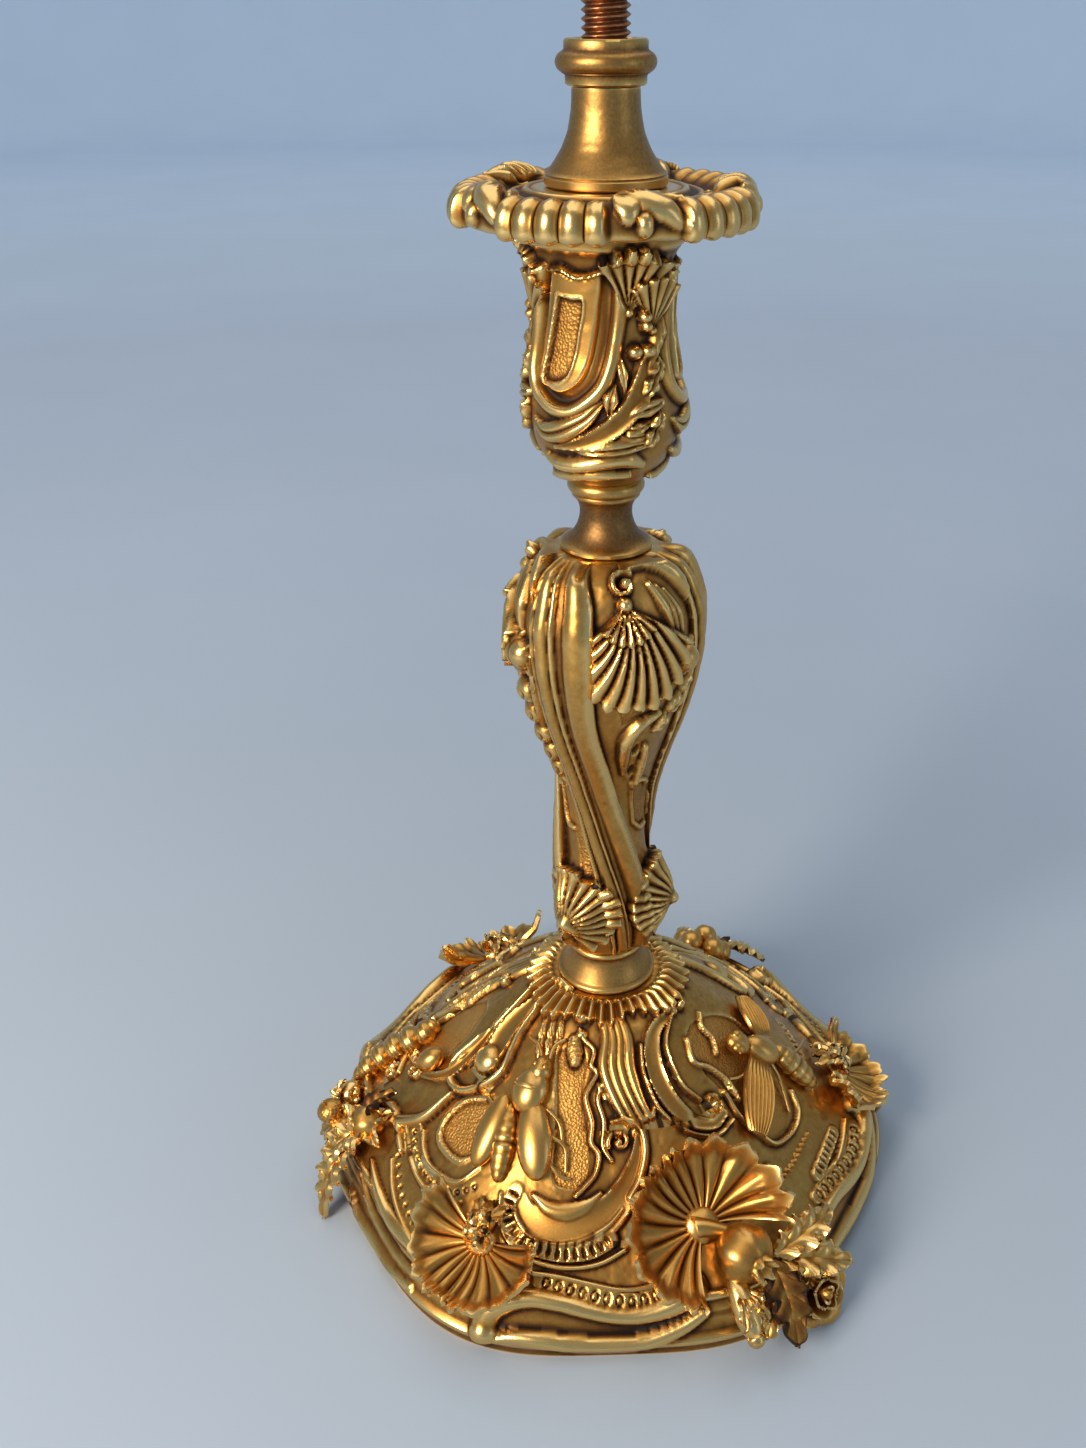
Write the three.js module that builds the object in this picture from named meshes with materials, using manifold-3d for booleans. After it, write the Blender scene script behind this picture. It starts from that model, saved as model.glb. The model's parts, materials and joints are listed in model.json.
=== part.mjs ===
// Cast and turned gilt bronze candlestick, held together by a threaded rod.
// Millimetres, +Z up, origin on the floor under the middle of the base, front towards -Y.
import * as THREE from 'three';
import { mergeVertices } from 'three/addons/utils/BufferGeometryUtils.js';
import Module from 'manifold-3d';

// Clearances and shared values
const jointGap = 0.3;
const rodClearance = 0.5;
const cutOverrun = 3;
const weldDistance = 0.001;
const degree = Math.PI / 180;
const wholeTurn = 2 * Math.PI;

// Tie rod, 7/16 inch by 14 threads to the inch
const rodRadius = 5.6;
const threadPitch = 1.814;
const threadDepth = 0.95;
const threadSides = 8;
const ringsPerThread = 3;
const rodAboveCollar = 18.2;
const rodBelowNut = 5;
const threadBelowCollar = 6;
const threadAboveNut = 4;

// Turned collar that screws down on the cone cap
const collarHeight = 9.6;
const collarBandRadius = 9.5;
const collarTorusRadius = 11.6;
const collarChamfer = 0.9;
const turnedSides = 20;

// Turned cone cap
const capHeight = 20.9;
const capBaseRadius = 14.6;
const capNeckRadius = 7.9;
const capWall = 1.9;

// Drip pan and the sleeve brazed under it
const panHeight = 8.4;
const panRadius = 37.2;
const panHubMargin = 1;
const candleRadius = 11.2;
const panGroups = 5;
const podsPerGroup = 5;
const panSamplesPerGroup = 16;
const panFirstGroup = -111 * degree;
const podDepth = 1.5;
const podRise = 0.8;
const sleeveWall = 1.4;
const sleeveLength = 21;
const sleeveClearance = 0.6;

// Candle cup
const cupHeight = 61.3;
const cupRadius = 20.4;
const cupLipRadius = 20.5;
const cupBoreRadius = candleRadius + sleeveWall + sleeveClearance;
const cupBoreDepth = 40;
const cupPanels = 3;
const cupFirstPanel = -119 * degree;
const cupRelief = 2.2;
const cupFrameRise = 1.1;
const cupSamplesPerPanel = 12;

// Turned neck collar
const neckHeight = 18.9;
const neckFlangeRadius = 12.3;
const neckWaistRadius = 6.9;
const neckTorusRadius = 10.1;

// Twisted baluster stem
const stemLength = 127.6;
const stemRadius = 25.2;
const stemBands = 3;
const stemFirstBand = -113 * degree;
const stemTwist = 46 * degree;
const reedsPerBand = 3;
const samplesPerBand = 14;
const bandRise = 1.4;
const reedDepth = 1.2;
const shoulderSwell = 1.2;
const footSwell = 5.2;
const stemCoreWall = 3.6;

// Turned collar on the crown of the base
const baseCollarHeight = 12;
const baseCollarRadius = 15;
const baseCollarTopRadius = 10.9;

// Hollow cast base
const baseHeight = 71;
const baseRadius = 88.2;
const baseCorners = 6;
const cornerSwell = 2.3;
const firstCorner = -58 * degree;
const cornerAngle = wholeTurn / baseCorners;
const baseWall = 3;
const crownMargin = 2;
const crownRadius = baseCollarRadius + crownMargin;
const footWidth = 4.2;
const ruffRadius = 24;
const ruffRise = 1.9;
const ruffFluteDepth = 1.5;
const ruffFlutes = 24;
const samplesPerFlute = 2;
const rimBeadRise = 1.6;

// Scrolls and bands cast on the base. Each bar runs through places of [share of the outline, degrees],
// where the photograph shows it, and comes again at its turns, in degrees round the axis
const barEndShare = 0.5;
const stationsPerPlace = 1.2;
const barSink = 1.3;
const rimTurns = [0, 68, 119, 187, 240, -47];
const panelTurns = [0, 246];
const slopeTurns = [0, 180];
const baseBars = {
  rimRoll: {
    width: 4.4,
    rise: 2.8,
    turns: rimTurns,
    places: [[0.975, -112], [0.947, -108], [0.94, -99], [0.957, -89], [0.957, -80], [0.93, -72]],
  },
  rimLip: {
    width: 4.4,
    rise: 1.8,
    turns: rimTurns,
    places: [[0.99, -110], [0.995, -101], [1, -91], [0.992, -81], [0.965, -73]],
  },
  panelBand: {
    width: 7,
    rise: 1.7,
    turns: panelTurns,
    places: [[0.57, -79], [0.66, -82], [0.74, -90], [0.78, -100], [0.75, -110], [0.7, -113]],
  },
  panelLip: {
    width: 3.4,
    rise: 1.5,
    turns: panelTurns,
    places: [[0.74, -116], [0.81, -112], [0.845, -104], [0.845, -95], [0.8, -88]],
  },
  strands: {
    width: 6,
    rise: 1.9,
    turns: panelTurns,
    places: [[0.31, -87], [0.4, -82.5], [0.47, -80], [0.53, -76]],
  },
  slopeScroll: {
    width: 5.4,
    rise: 2.6,
    turns: slopeTurns,
    places: [[0.31, -52], [0.36, -64], [0.43, -66], [0.5, -63], [0.56, -55], [0.572, -48]],
  },
  slopeBand: {
    width: 3.2,
    rise: 2.2,
    turns: slopeTurns,
    places: [[0.34, -72], [0.42, -74], [0.5, -70], [0.57, -63], [0.605, -54]],
  },
  leafScroll: {
    width: 8,
    rise: 2.8,
    turns: slopeTurns,
    places: [[0.29, -154], [0.36, -152], [0.43, -150], [0.5, -149]],
  },
  leafCurl: {
    width: 3.6,
    rise: 2.8,
    turns: slopeTurns,
    places: [[0.3, -162], [0.39, -159.5], [0.48, -161.5], [0.56, -162], [0.6, -156], [0.58, -147], [0.5, -140]],
  },
};

// Rounded ends of those scrolls, at places of [share of the outline, degrees]
const baseKnobs = {
  rimKnob: { radius: 3.4, turns: rimTurns, place: [0.975, -113] },
  panelKnob: { radius: 3.2, turns: panelTurns, place: [0.575, -85] },
  slopeKnob: { radius: 3, turns: slopeTurns, place: [0.54, -49] },
  leafKnob: { radius: 4.2, turns: slopeTurns, place: [0.515, -150] },
};

// Shells, scroll and husks cast on the stem, again between each two bands
const shoulderShell = {
  share: 0.85,
  sideways: -23 * degree,
  above: 12,
  sunk: 3.4,
  radius: 21,
  rise: 3.6,
  thickness: 5.4,
  ribs: 5,
  fromAngle: 318 * degree,
  toAngle: 212 * degree,
};
const shoulderScroll = {
  width: 5,
  rise: 2.6,
  places: [[0.965, -80], [0.985, -64], [0.965, -46], [0.92, -30], [0.87, -19]],
};
const shoulderKnob = { radius: 3, place: [0.955, -80] };
const footShell = {
  share: 0.13,
  sideways: 0,
  above: -2,
  sunk: 2.6,
  radius: 10,
  rise: 1.4,
  thickness: 4,
  ribs: 5,
  fromAngle: 235 * degree,
  toAngle: -35 * degree,
};
const husks = [[0.85, 4.8], [0.74, 3.8], [0.66, 3.2]];

// Washer and nut that clamp the stack from inside
const washerRadius = 14.5;
const washerThickness = 2.5;
const nutAcross = 17.5;
const nutHeight = 9;

// Studs and nuts of the applied castings
const studRadius = 2;
const studBelowNut = 1.5;
const studNutAcross = 7;
const studNutHeight = 3;
const studNutSeat = 0.8;
const studSides = 8;
const studHead = 2.6;

// Large shell with a pomegranate, an open rose and a leaf spray, front right corner
const fanShellRadius = 23.5;
const fanShellSeatShare = 0.78;
const fanShellOffset = -9 * degree;
const fanShellRise = 9;
const fanShellThickness = 2.6;
const fanShellRibs = 14;
const pomegranateRadius = 8.4;
const pomegranateHeight = 17.6;
const pomegranateSeatShare = 0.87;
const pomegranateOffset = -4 * degree;
const pomegranateEyeTilt = 110 * degree;
const pomegranateEyeSwing = 50 * degree;
const roseRadius = 6.8;
const roseHeight = 10.5;
const roseSeatShare = 1.06;
const roseOffset = 8 * degree;
const rosePetals = 5;
const spraySeatShare = 0.93;
const sprayOffset = 2.4 * degree;
const sprayLeafLength = 24;
const sprayLeafWidth = 13;
const leafThickness = 2.4;
const leafRise = 3.4;
const frontLeafSwings = [-42 * degree, 20 * degree, 58 * degree, 98 * degree];
const budRadius = 4.2;
const budLength = 20;
const budSideways = -15.5;
const budDownhill = 9.5;
const budSwing = -8 * degree;

// Round fruit clamped on a leaf spray, with an acorn and a hazelnut beside it, left corner
const nutCornerOffset = 12.5 * degree;
const roundFruitRadius = 6.2;
const roundFruitHeight = 11.6;
const roundFruitSeatShare = 0.865;
const roundFruitEyeTilt = 134 * degree;
const roundFruitEyeSwing = 15 * degree;
const calyxMargin = 2.4;
const hangingLeafLength = 31;
const hangingLeafWidth = 14;
const hangingLeafDroop = 7;
const hangingLeafSwing = 26 * degree;
const acornLeafLength = 20;
const acornLeafSwing = -33 * degree;
const acornRadius = 3.6;
const acornLength = 12.4;
const acornSideways = -9;
const acornDownhill = 10.5;
const acornTilt = 50 * degree;
const hazelnutRadius = 4;
const hazelnutLength = 9.4;
const hazelnutSeatShare = 0.9;
const hazelnutOffset = 11 * degree;

// Bunch of berries over leaves, back corner
const berryRadius = 4.4;
const berriesAround = 5;
const berryBunchRadius = 7;
const berrySeatShare = 0.82;
const backLeafShare = 0.9;
const backLeafSwings = [-52 * degree, 0, 52 * degree];

// Smaller shells on the other corners
const sideShells = 3;
const sideShellRadius = 18.5;
const sideShellSeatShare = 0.835;
const sideShellRise = 6.5;
const sideShellThickness = 2.4;
const sideShellRibs = 9;

// Insects on the slopes
const beetleSeatShare = 0.545;
const beetleAngle = -115.5 * degree;
const beetleLength = 34;
const beetleWidth = 12.5;
const beetleHeight = 7.2;
const beetleRightCaseSwing = 7 * degree;
const beetleLeftCaseSwing = -26 * degree;
const flySeatShare = 0.567;
const flyAngle = -14.5 * degree;
const flySwing = 28 * degree;
const flyLength = 34;
const flyWidth = 7.8;
const flyHeight = 6.6;
const lowerWingLength = 27;
const lowerWingSwing = -61 * degree;
const upperWingLength = 20;
const upperWingSwing = 108 * degree;
const larvaSeatShare = 0.755;
const larvaAngle = 176 * degree;
const larvaSwing = 10 * degree;
const larvaLength = 27;
const larvaWidth = 9;
const larvaHeight = 7.6;
const larvaSegments = 5;

const wasm = await Module();
wasm.setup();

// Materials, one for each kind of metal surface
const finishes = {
  gildedCasting: { color: 0xa67a32, roughness: 0.38, metalness: 1 },
  turnedBrass: { color: 0x9c7d45, roughness: 0.32, metalness: 1 },
  rodMetal: { color: 0x7a5236, roughness: 0.45, metalness: 1 },
  hiddenSteel: { color: 0x6b6a66, roughness: 0.5, metalness: 1 },
};

const candlestick = new THREE.Group();
candlestick.name = 'candlestick';

function addPiece(name, geometry, finish) {
  const piece = new THREE.Mesh(geometry, new THREE.MeshStandardMaterial(finishes[finish]));
  piece.name = name;
  candlestick.add(piece);
}

// Geometry helpers

// A closed body with a hole right through, from rings that run up the outside and down the inside.
function hollowBody(rings) {
  return bandedGeometry(rings, true);
}

// A closed body from rings of points, lowest first, with its two ends closed by a fan.
function solidBody(rings) {
  return bandedGeometry(rings, false);
}

function bandedGeometry(rings, closesOnItself) {
  const around = rings[0].length;
  const points = rings.flat();
  const index = [];
  const bands = closesOnItself ? rings.length : rings.length - 1;
  for (let i = 0; i < bands; i += 1) {
    const next = (i + 1) % rings.length;
    for (let j = 0; j < around; j += 1) {
      const beside = (j + 1) % around;
      const [a, b] = [i * around + j, i * around + beside];
      const [c, d] = [next * around + beside, next * around + j];
      index.push(a, b, c, a, c, d);
    }
  }
  if (!closesOnItself) {
    const bottom = points.push(middleOf(rings[0])) - 1;
    const top = points.push(middleOf(rings[rings.length - 1])) - 1;
    const lastRing = (rings.length - 1) * around;
    for (let j = 0; j < around; j += 1) {
      const beside = (j + 1) % around;
      index.push(bottom, beside, j);
      index.push(top, lastRing + j, lastRing + beside);
    }
  }
  const geometry = new THREE.BufferGeometry().setFromPoints(points);
  geometry.setIndex(index);
  return geometry;
}

function middleOf(points) {
  const sum = points.reduce((total, point) => total.add(point), new THREE.Vector3());
  return sum.divideScalar(points.length);
}

// Points round the axis at one height, with a radius that may follow the angle.
function ringAt(z, count, radiusAt, startAngle = 0) {
  return Array.from({ length: count }, (_, i) => {
    const angle = startAngle + (wholeTurn * i) / count;
    const radius = radiusAt(angle);
    return new THREE.Vector3(radius * Math.cos(angle), radius * Math.sin(angle), z);
  });
}

// A body of revolution about Z from a closed outline of [radius, height] points, outside first.
function turned(outline, base, sides = turnedSides) {
  const points = outline.map(([radius, height]) => new THREE.Vector2(radius, base + height));
  points.push(points[0].clone());
  return new THREE.LatheGeometry(points, sides).rotateX(Math.PI / 2);
}

// A smooth radius along a length, read from a few [share of length, share of radius] points.
function smoothShares(shares) {
  return (share) => {
    const last = shares.length - 1;
    let i = 1;
    while (i < last && shares[i][0] < share) {
      i += 1;
    }
    const [start, end] = [shares[i - 1], shares[i]];
    const before = shares[Math.max(i - 2, 0)];
    const after = shares[Math.min(i + 1, last)];
    const span = end[0] - start[0];
    const t = THREE.MathUtils.clamp((share - start[0]) / span, 0, 1);
    const startSlope = ((end[1] - before[1]) / (end[0] - before[0])) * span;
    const endSlope = ((after[1] - start[1]) / (after[0] - start[0])) * span;
    const [t2, t3] = [t * t, t * t * t];
    return (2 * t3 - 3 * t2 + 1) * start[1] + (t3 - 2 * t2 + t) * startSlope
      + (3 * t2 - 2 * t3) * end[1] + (t3 - t2) * endSlope;
  };
}

function bump(distance, halfWidth) {
  const t = Math.min(Math.abs(distance) / halfWidth, 1);
  return 0.5 + 0.5 * Math.cos(Math.PI * t);
}

function solidOf(geometry) {
  const plain = geometry.clone();
  plain.deleteAttribute('normal');
  plain.deleteAttribute('uv');
  const welded = mergeVertices(plain, weldDistance);
  const vertProperties = new Float32Array(welded.attributes.position.array);
  const triVerts = new Uint32Array(welded.index.array);
  return new wasm.Manifold(new wasm.Mesh({ numProp: 3, vertProperties, triVerts }));
}

function geometryOf(solid) {
  const mesh = solid.getMesh();
  const geometry = new THREE.BufferGeometry();
  geometry.setAttribute('position', new THREE.BufferAttribute(mesh.vertProperties, mesh.numProp));
  geometry.setIndex(new THREE.BufferAttribute(mesh.triVerts, 1));
  return geometry;
}

function joined(geometries) {
  return geometries.map(solidOf).reduce((whole, part) => whole.add(part));
}

// The largest body of a cut piece, without the crumbs that a cut may leave.
function mainBody(solid) {
  const bodies = solid.decompose();
  return bodies.reduce((largest, body) => (body.volume() > largest.volume() ? body : largest));
}

// Axes on a surface of [share, angle] places: sideways anticlockwise, uphill, and out of the surface.
function surfaceFrame(place, above, below, angle) {
  const uphill = above.clone().sub(below).normalize();
  const sideways = new THREE.Vector3(-Math.sin(angle), Math.cos(angle), 0);
  const outward = new THREE.Vector3().crossVectors(sideways, uphill).normalize();
  return new THREE.Matrix4().makeBasis(sideways, uphill, outward).setPosition(place);
}

// A bar with a rounded back, sunk into a surface along its places, narrower at its two ends.
const barSection = [[-1, 0], [-0.5, 0.94], [0.5, 0.94], [1, 0]];
function barOn(frameAt, { width, rise, places }, turn, grow = 0) {
  const knots = places.map(([share, angle]) => new THREE.Vector3(share, (angle + turn) * degree, 0));
  const line = new THREE.CatmullRomCurve3(knots);
  const last = Math.round(stationsPerPlace * (places.length - 1));
  const frames = Array.from({ length: last + 1 }, (_, i) => {
    const place = line.getPoint(i / last);
    return frameAt(place.x, place.y);
  });
  const origins = frames.map((frame) => new THREE.Vector3().setFromMatrixPosition(frame));
  return solidBody(frames.map((frame, i) => {
    const along = origins[Math.min(i + 1, last)].clone().sub(origins[Math.max(i - 1, 0)]).normalize();
    const out = new THREE.Vector3().setFromMatrixColumn(frame, 2);
    const across = along.clone().cross(out).normalize();
    const size = barEndShare + (1 - barEndShare) * Math.sqrt(Math.sin((Math.PI * i) / last));
    const pastEnd = { 0: -grow, [last]: grow }[i] ?? 0;
    return barSection.map(([side, up]) => origins[i].clone()
      .addScaledVector(along, pastEnd)
      .addScaledVector(across, side * ((size * width) / 2 + grow))
      .addScaledVector(out, up * (size * rise + grow) - (1 - up) * barSink));
  }));
}

function knobOn(frameAt, { radius, place }, turn, grow = 0) {
  const frame = frameAt(place[0], (place[1] + turn) * degree);
  return new THREE.IcosahedronGeometry(radius + grow, 0).applyMatrix4(frame);
}

// Heights of the stack, floor to rod end
const crownHeight = baseHeight;
const baseCollarBase = crownHeight + jointGap;
const stemBase = baseCollarBase + baseCollarHeight + jointGap;
const neckBase = stemBase + stemLength + jointGap;
const cupBase = neckBase + neckHeight + jointGap;
const panBase = cupBase + cupHeight + jointGap;
const capBase = panBase + panHeight + jointGap;
const collarBase = capBase + capHeight + jointGap;
const rodTop = collarBase + collarHeight + rodAboveCollar;
const washerBase = crownHeight - baseWall - jointGap - washerThickness;
const nutBase = washerBase - jointGap - nutHeight;
const rodBottom = nutBase - rodBelowNut;
const rodHoleRadius = rodRadius + rodClearance;

// Tie rod: plain shank with a thread at each end, the thread one helical groove
function threadRadius(angle, z) {
  const phase = z / threadPitch - angle / wholeTurn;
  const share = phase - Math.floor(phase);
  return rodRadius - threadDepth * Math.abs(2 * share - 1);
}

function threadRings(fromZ, toZ) {
  const steps = Math.ceil(((toZ - fromZ) * ringsPerThread) / threadPitch);
  return Array.from({ length: steps + 1 }, (_, i) => {
    const z = fromZ + ((toZ - fromZ) * i) / steps;
    return ringAt(z, threadSides, (angle) => threadRadius(angle, z));
  });
}

function makeRod() {
  const rootRadius = rodRadius - threadDepth;
  const rings = [
    ringAt(rodBottom, threadSides, () => rootRadius),
    ...threadRings(rodBottom + threadDepth, nutBase + nutHeight + threadAboveNut),
    ...threadRings(collarBase - threadBelowCollar, rodTop - threadDepth),
    ringAt(rodTop, threadSides, () => rootRadius),
  ];
  addPiece('threaded_rod', solidBody(rings), 'rodMetal');
}

// Turned pieces, each outline given as [height share, radius] stations from its foot to its top
const collarStations = [
  [0, collarBandRadius - collarChamfer], [0.05, collarBandRadius], [0.2, collarBandRadius],
  [0.28, collarTorusRadius - collarChamfer / 2], [0.5, collarTorusRadius],
  [0.7, collarTorusRadius - collarChamfer / 2],
  [0.78, collarBandRadius], [0.96, collarBandRadius], [1, collarBandRadius - collarChamfer / 2],
];
const capConeShares = [[0.16, 0.88], [0.27, 0.6], [0.4, 0.36], [0.6, 0.13], [0.85, 0.01], [1, 0]];
const neckStations = [
  [0, neckFlangeRadius], [0.045, neckFlangeRadius], [0.2, neckWaistRadius * 1.25], [0.37, neckWaistRadius],
  [0.53, neckWaistRadius], [0.65, neckWaistRadius * 1.08], [0.74, neckTorusRadius * 0.88],
  [0.79, neckTorusRadius * 0.95], [0.84, neckTorusRadius], [0.94, neckTorusRadius],
  [1, neckTorusRadius * 0.93],
];
const baseCollarCurveShares = [[0.16, 0.88], [0.36, 0.67], [0.64, 0.29], [0.9, 0], [1, 0]];

function outlineOf(stations, height) {
  return stations.map(([share, radius]) => [radius, share * height]);
}

// Stations of a curve that runs between a wide foot and a narrow top.
function taperStations(shares, footRadius, topRadius) {
  return shares.map(([share, foot]) => [share, topRadius + foot * (footRadius - topRadius)]);
}

function withBore(outline, height, bore) {
  return [...outline, [bore, height], [bore, 0]];
}

function makeTurnedPieces() {
  const collar = withBore(outlineOf(collarStations, collarHeight), collarHeight, rodHoleRadius);
  addPiece('locking_collar', turned(collar, collarBase), 'turnedBrass');

  const capBand = [[0, capBaseRadius - collarChamfer / 2], [0.03, capBaseRadius], [0.13, capBaseRadius]];
  const capStations = [...capBand, ...taperStations(capConeShares, capBaseRadius, capNeckRadius)];
  const cap = [
    ...outlineOf(capStations, capHeight),
    [rodHoleRadius, capHeight],
    [rodHoleRadius, capHeight * 0.6],
    [capBaseRadius - capWall, capHeight * 0.12],
    [capBaseRadius - capWall, 0],
  ];
  addPiece('cone_cap', turned(cap, capBase), 'turnedBrass');

  const neck = withBore(outlineOf(neckStations, neckHeight), neckHeight, rodHoleRadius);
  addPiece('neck_collar', turned(neck, neckBase), 'turnedBrass');

  const footBand = [[0, baseCollarRadius * 0.98], [0.07, baseCollarRadius], [0.14, baseCollarRadius * 0.98]];
  const footCurve = taperStations(baseCollarCurveShares, baseCollarRadius, baseCollarTopRadius);
  const foot = outlineOf([...footBand, ...footCurve], baseCollarHeight);
  const footWithBore = withBore(foot, baseCollarHeight, rodHoleRadius);
  addPiece('base_collar', turned(footWithBore, baseCollarBase), 'turnedBrass');

  const sleeveRadius = candleRadius + sleeveWall;
  const sleeveTop = panBase - jointGap;
  const sleeve = withBore([[sleeveRadius, 0], [sleeveRadius, sleeveLength]], sleeveLength, candleRadius);
  addPiece('nozzle_sleeve', turned(sleeve, sleeveTop - sleeveLength), 'turnedBrass');

  const washer = [[washerRadius, 0], [washerRadius, washerThickness]];
  const washerWithBore = withBore(washer, washerThickness, rodHoleRadius);
  addPiece('base_washer', turned(washerWithBore, washerBase), 'hiddenSteel');
}

// Hexagon nut with a round bore, standing on its own base plane
function nutGeometry(across, height, bore) {
  const corner = across / 2 / Math.cos(Math.PI / 6);
  const outside = solidOf(new THREE.CylinderGeometry(corner, corner, height, 6).rotateX(Math.PI / 2));
  const drillLength = height + 2 * cutOverrun;
  const drill = new THREE.CylinderGeometry(bore, bore, drillLength, studSides).rotateX(Math.PI / 2);
  return geometryOf(outside.subtract(solidOf(drill))).translate(0, 0, height / 2);
}

// Drip pan: each group of rounded pods is followed by a curled leaf
function panEdge(angle) {
  const groupAngle = wholeTurn / panGroups;
  const turns = (angle - panFirstGroup) / groupAngle;
  const share = turns - Math.round(turns);
  const podAngle = 0.125;
  const podShare = (podsPerGroup * podAngle) / 2;
  if (Math.abs(share) < podShare + podAngle / 4) {
    return { out: -podDepth * (0.5 - 0.5 * Math.cos((wholeTurn * share) / podAngle)), up: 0 };
  }
  const leaf = bump(0.5 - Math.abs(share), 0.5 - podShare);
  return { out: -podDepth * (1 - leaf), up: podRise * leaf };
}

function makePan() {
  const count = panGroups * panSamplesPerGroup;
  const outline = [
    [0, cupLipRadius], [0.4, panRadius * 0.68], [0.34, panRadius * 0.92], [0.5, panRadius],
    [0.95, panRadius * 0.96], [1.14, panRadius * 0.86], [0.76, panRadius * 0.7],
    [1, capBaseRadius + panHubMargin],
  ];
  const rings = outline.map(([heightShare, outlineRadiusHere]) => {
    const edgeWeight = THREE.MathUtils.smoothstep(outlineRadiusHere / panRadius, 0.77, 0.94);
    return Array.from({ length: count }, (_, i) => {
      const angle = panFirstGroup + (wholeTurn * i) / count;
      const edge = panEdge(angle);
      const radius = outlineRadiusHere + edge.out * edgeWeight;
      const z = panBase + panHeight * heightShare + edge.up * edgeWeight;
      return new THREE.Vector3(radius * Math.cos(angle), radius * Math.sin(angle), z);
    });
  });
  const seat = ringAt(panBase, count, () => candleRadius, panFirstGroup);
  const top = ringAt(panBase + panHeight, count, () => candleRadius, panFirstGroup);
  addPiece('bobeche', hollowBody([seat, ...rings, top]), 'gildedCasting');
}

// Candle cup: three framed panels with leafwork between them
const cupRadiusShares = smoothShares([
  [0, 0.5], [0.04, 0.7], [0.09, 0.85], [0.18, 0.98], [0.28, 1], [0.46, 0.93], [0.57, 0.87],
  [0.7, 0.855], [0.83, 0.875], [0.92, 0.91], [1, 0.94],
]);
const cupReliefShares = smoothShares([
  [0, 0], [0.08, 0.3], [0.2, 1], [0.45, 0.9], [0.6, 0.45], [0.8, 0.6], [0.92, 0.3], [0.95, 0], [1, 0],
]);

function makeCup() {
  const count = cupPanels * cupSamplesPerPanel;
  const panelAngle = wholeTurn / cupPanels;
  const lipShare = 0.94;
  const frameShares = [0, 0.03, 0.08, 0.15, 0.24, 0.35, 0.48, 0.62, 0.78, 0.9, lipShare, 1];
  const outside = frameShares.map((share) => ringAt(cupBase + cupHeight * share, count, (angle) => {
    const turns = (angle - cupFirstPanel) / panelAngle;
    const off = Math.abs(turns - Math.round(turns));
    const relief = cupRelief * cupReliefShares(share) * THREE.MathUtils.smoothstep(off, 0.24, 0.42);
    const frame = cupFrameRise * bump(off - 0.2, 0.09) * (share < 0.9 ? 1 : 0);
    const body = share < lipShare ? cupRadius * cupRadiusShares(share) : cupLipRadius;
    return body + relief + frame;
  }, cupFirstPanel));
  const floorZ = cupBase + cupHeight - cupBoreDepth;
  const inside = [
    ringAt(cupBase + cupHeight, count, () => cupBoreRadius, cupFirstPanel),
    ringAt(floorZ, count, () => cupBoreRadius, cupFirstPanel),
    ringAt(floorZ, count, () => rodHoleRadius, cupFirstPanel),
    ringAt(cupBase, count, () => rodHoleRadius, cupFirstPanel),
  ];
  addPiece('candle_cup', hollowBody([...outside, ...inside]), 'gildedCasting');
}

// Stem: three reeded bands wind down a three-sided baluster, with shells between them
const stemRadiusShares = smoothShares([
  [0, 0.42], [0.05, 0.455], [0.16, 0.485], [0.28, 0.475], [0.38, 0.475], [0.45, 0.5], [0.49, 0.58],
  [0.56, 0.715], [0.64, 0.84], [0.73, 0.945], [0.8, 0.995], [0.86, 1.01], [0.92, 0.94],
  [0.97, 0.84], [1, 0.7],
]);
const stemTwistShares = smoothShares([
  [0, 1], [0.05, 1], [0.3, 0.9], [0.5, 0.62], [0.7, 0.27], [0.87, 0], [1, 0],
]);

function stemBandAngle(share) {
  return stemFirstBand + stemTwist * stemTwistShares(share);
}

function stemRelief(share, bandShare) {
  const halfBand = 0.214;
  const off = Math.abs(bandShare);
  const fade = bump(share - 0.5, 0.54);
  if (off < halfBand + 0.001) {
    const reed = Math.abs(Math.cos((bandShare / halfBand) * (reedsPerBand / 2) * Math.PI));
    return bandRise * (0.6 + 0.4 * fade) - reedDepth * (1 - reed);
  }
  const middle = bump(0.5 - off, 0.5 - halfBand);
  const shoulder = shoulderSwell * bump(share - 0.8, 0.2);
  const foot = footSwell * bump(share - 0.13, 0.11);
  return middle * (shoulder + foot);
}

function stemPoint(share, angle) {
  const turns = (angle - stemBandAngle(share)) / (wholeTurn / stemBands);
  const radius = stemRadius * stemRadiusShares(share) + stemRelief(share, turns - Math.round(turns));
  return new THREE.Vector3(radius * Math.cos(angle), radius * Math.sin(angle), stemBase + stemLength * share);
}

function stemFrame(share, angle) {
  const step = 0.02;
  return surfaceFrame(
    stemPoint(share, angle),
    stemPoint(Math.min(share + step, 1), angle),
    stemPoint(share - step, angle),
    angle,
  );
}

// A fan shell that follows the stem's round face.
function stemShell(sizes, turn) {
  const geometry = shellGeometry(sizes).translate(0, sizes.above, -sizes.sunk);
  const points = geometry.attributes.position;
  for (let i = 0; i < points.count; i += 1) {
    const fall = (points.getX(i) ** 2 + points.getY(i) ** 2) / (2 * stemRadius);
    points.setZ(i, points.getZ(i) - fall);
  }
  const middle = stemBandAngle(sizes.share) + wholeTurn / stemBands / 2 + sizes.sideways;
  return geometry.applyMatrix4(stemFrame(sizes.share, middle + turn * degree));
}

function stemOrnaments() {
  return Array.from({ length: stemBands }, (_, i) => {
    const turn = (360 / stemBands) * i;
    const huskPods = husks.map(([share, radius]) => {
      const middle = stemBandAngle(share) / degree + 180 / stemBands;
      return knobOn(stemFrame, { radius, place: [share, middle] }, turn);
    });
    return [
      stemShell(shoulderShell, turn),
      barOn(stemFrame, shoulderScroll, turn),
      knobOn(stemFrame, shoulderKnob, turn),
      stemShell(footShell, turn),
      ...huskPods,
    ];
  }).flat();
}

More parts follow.
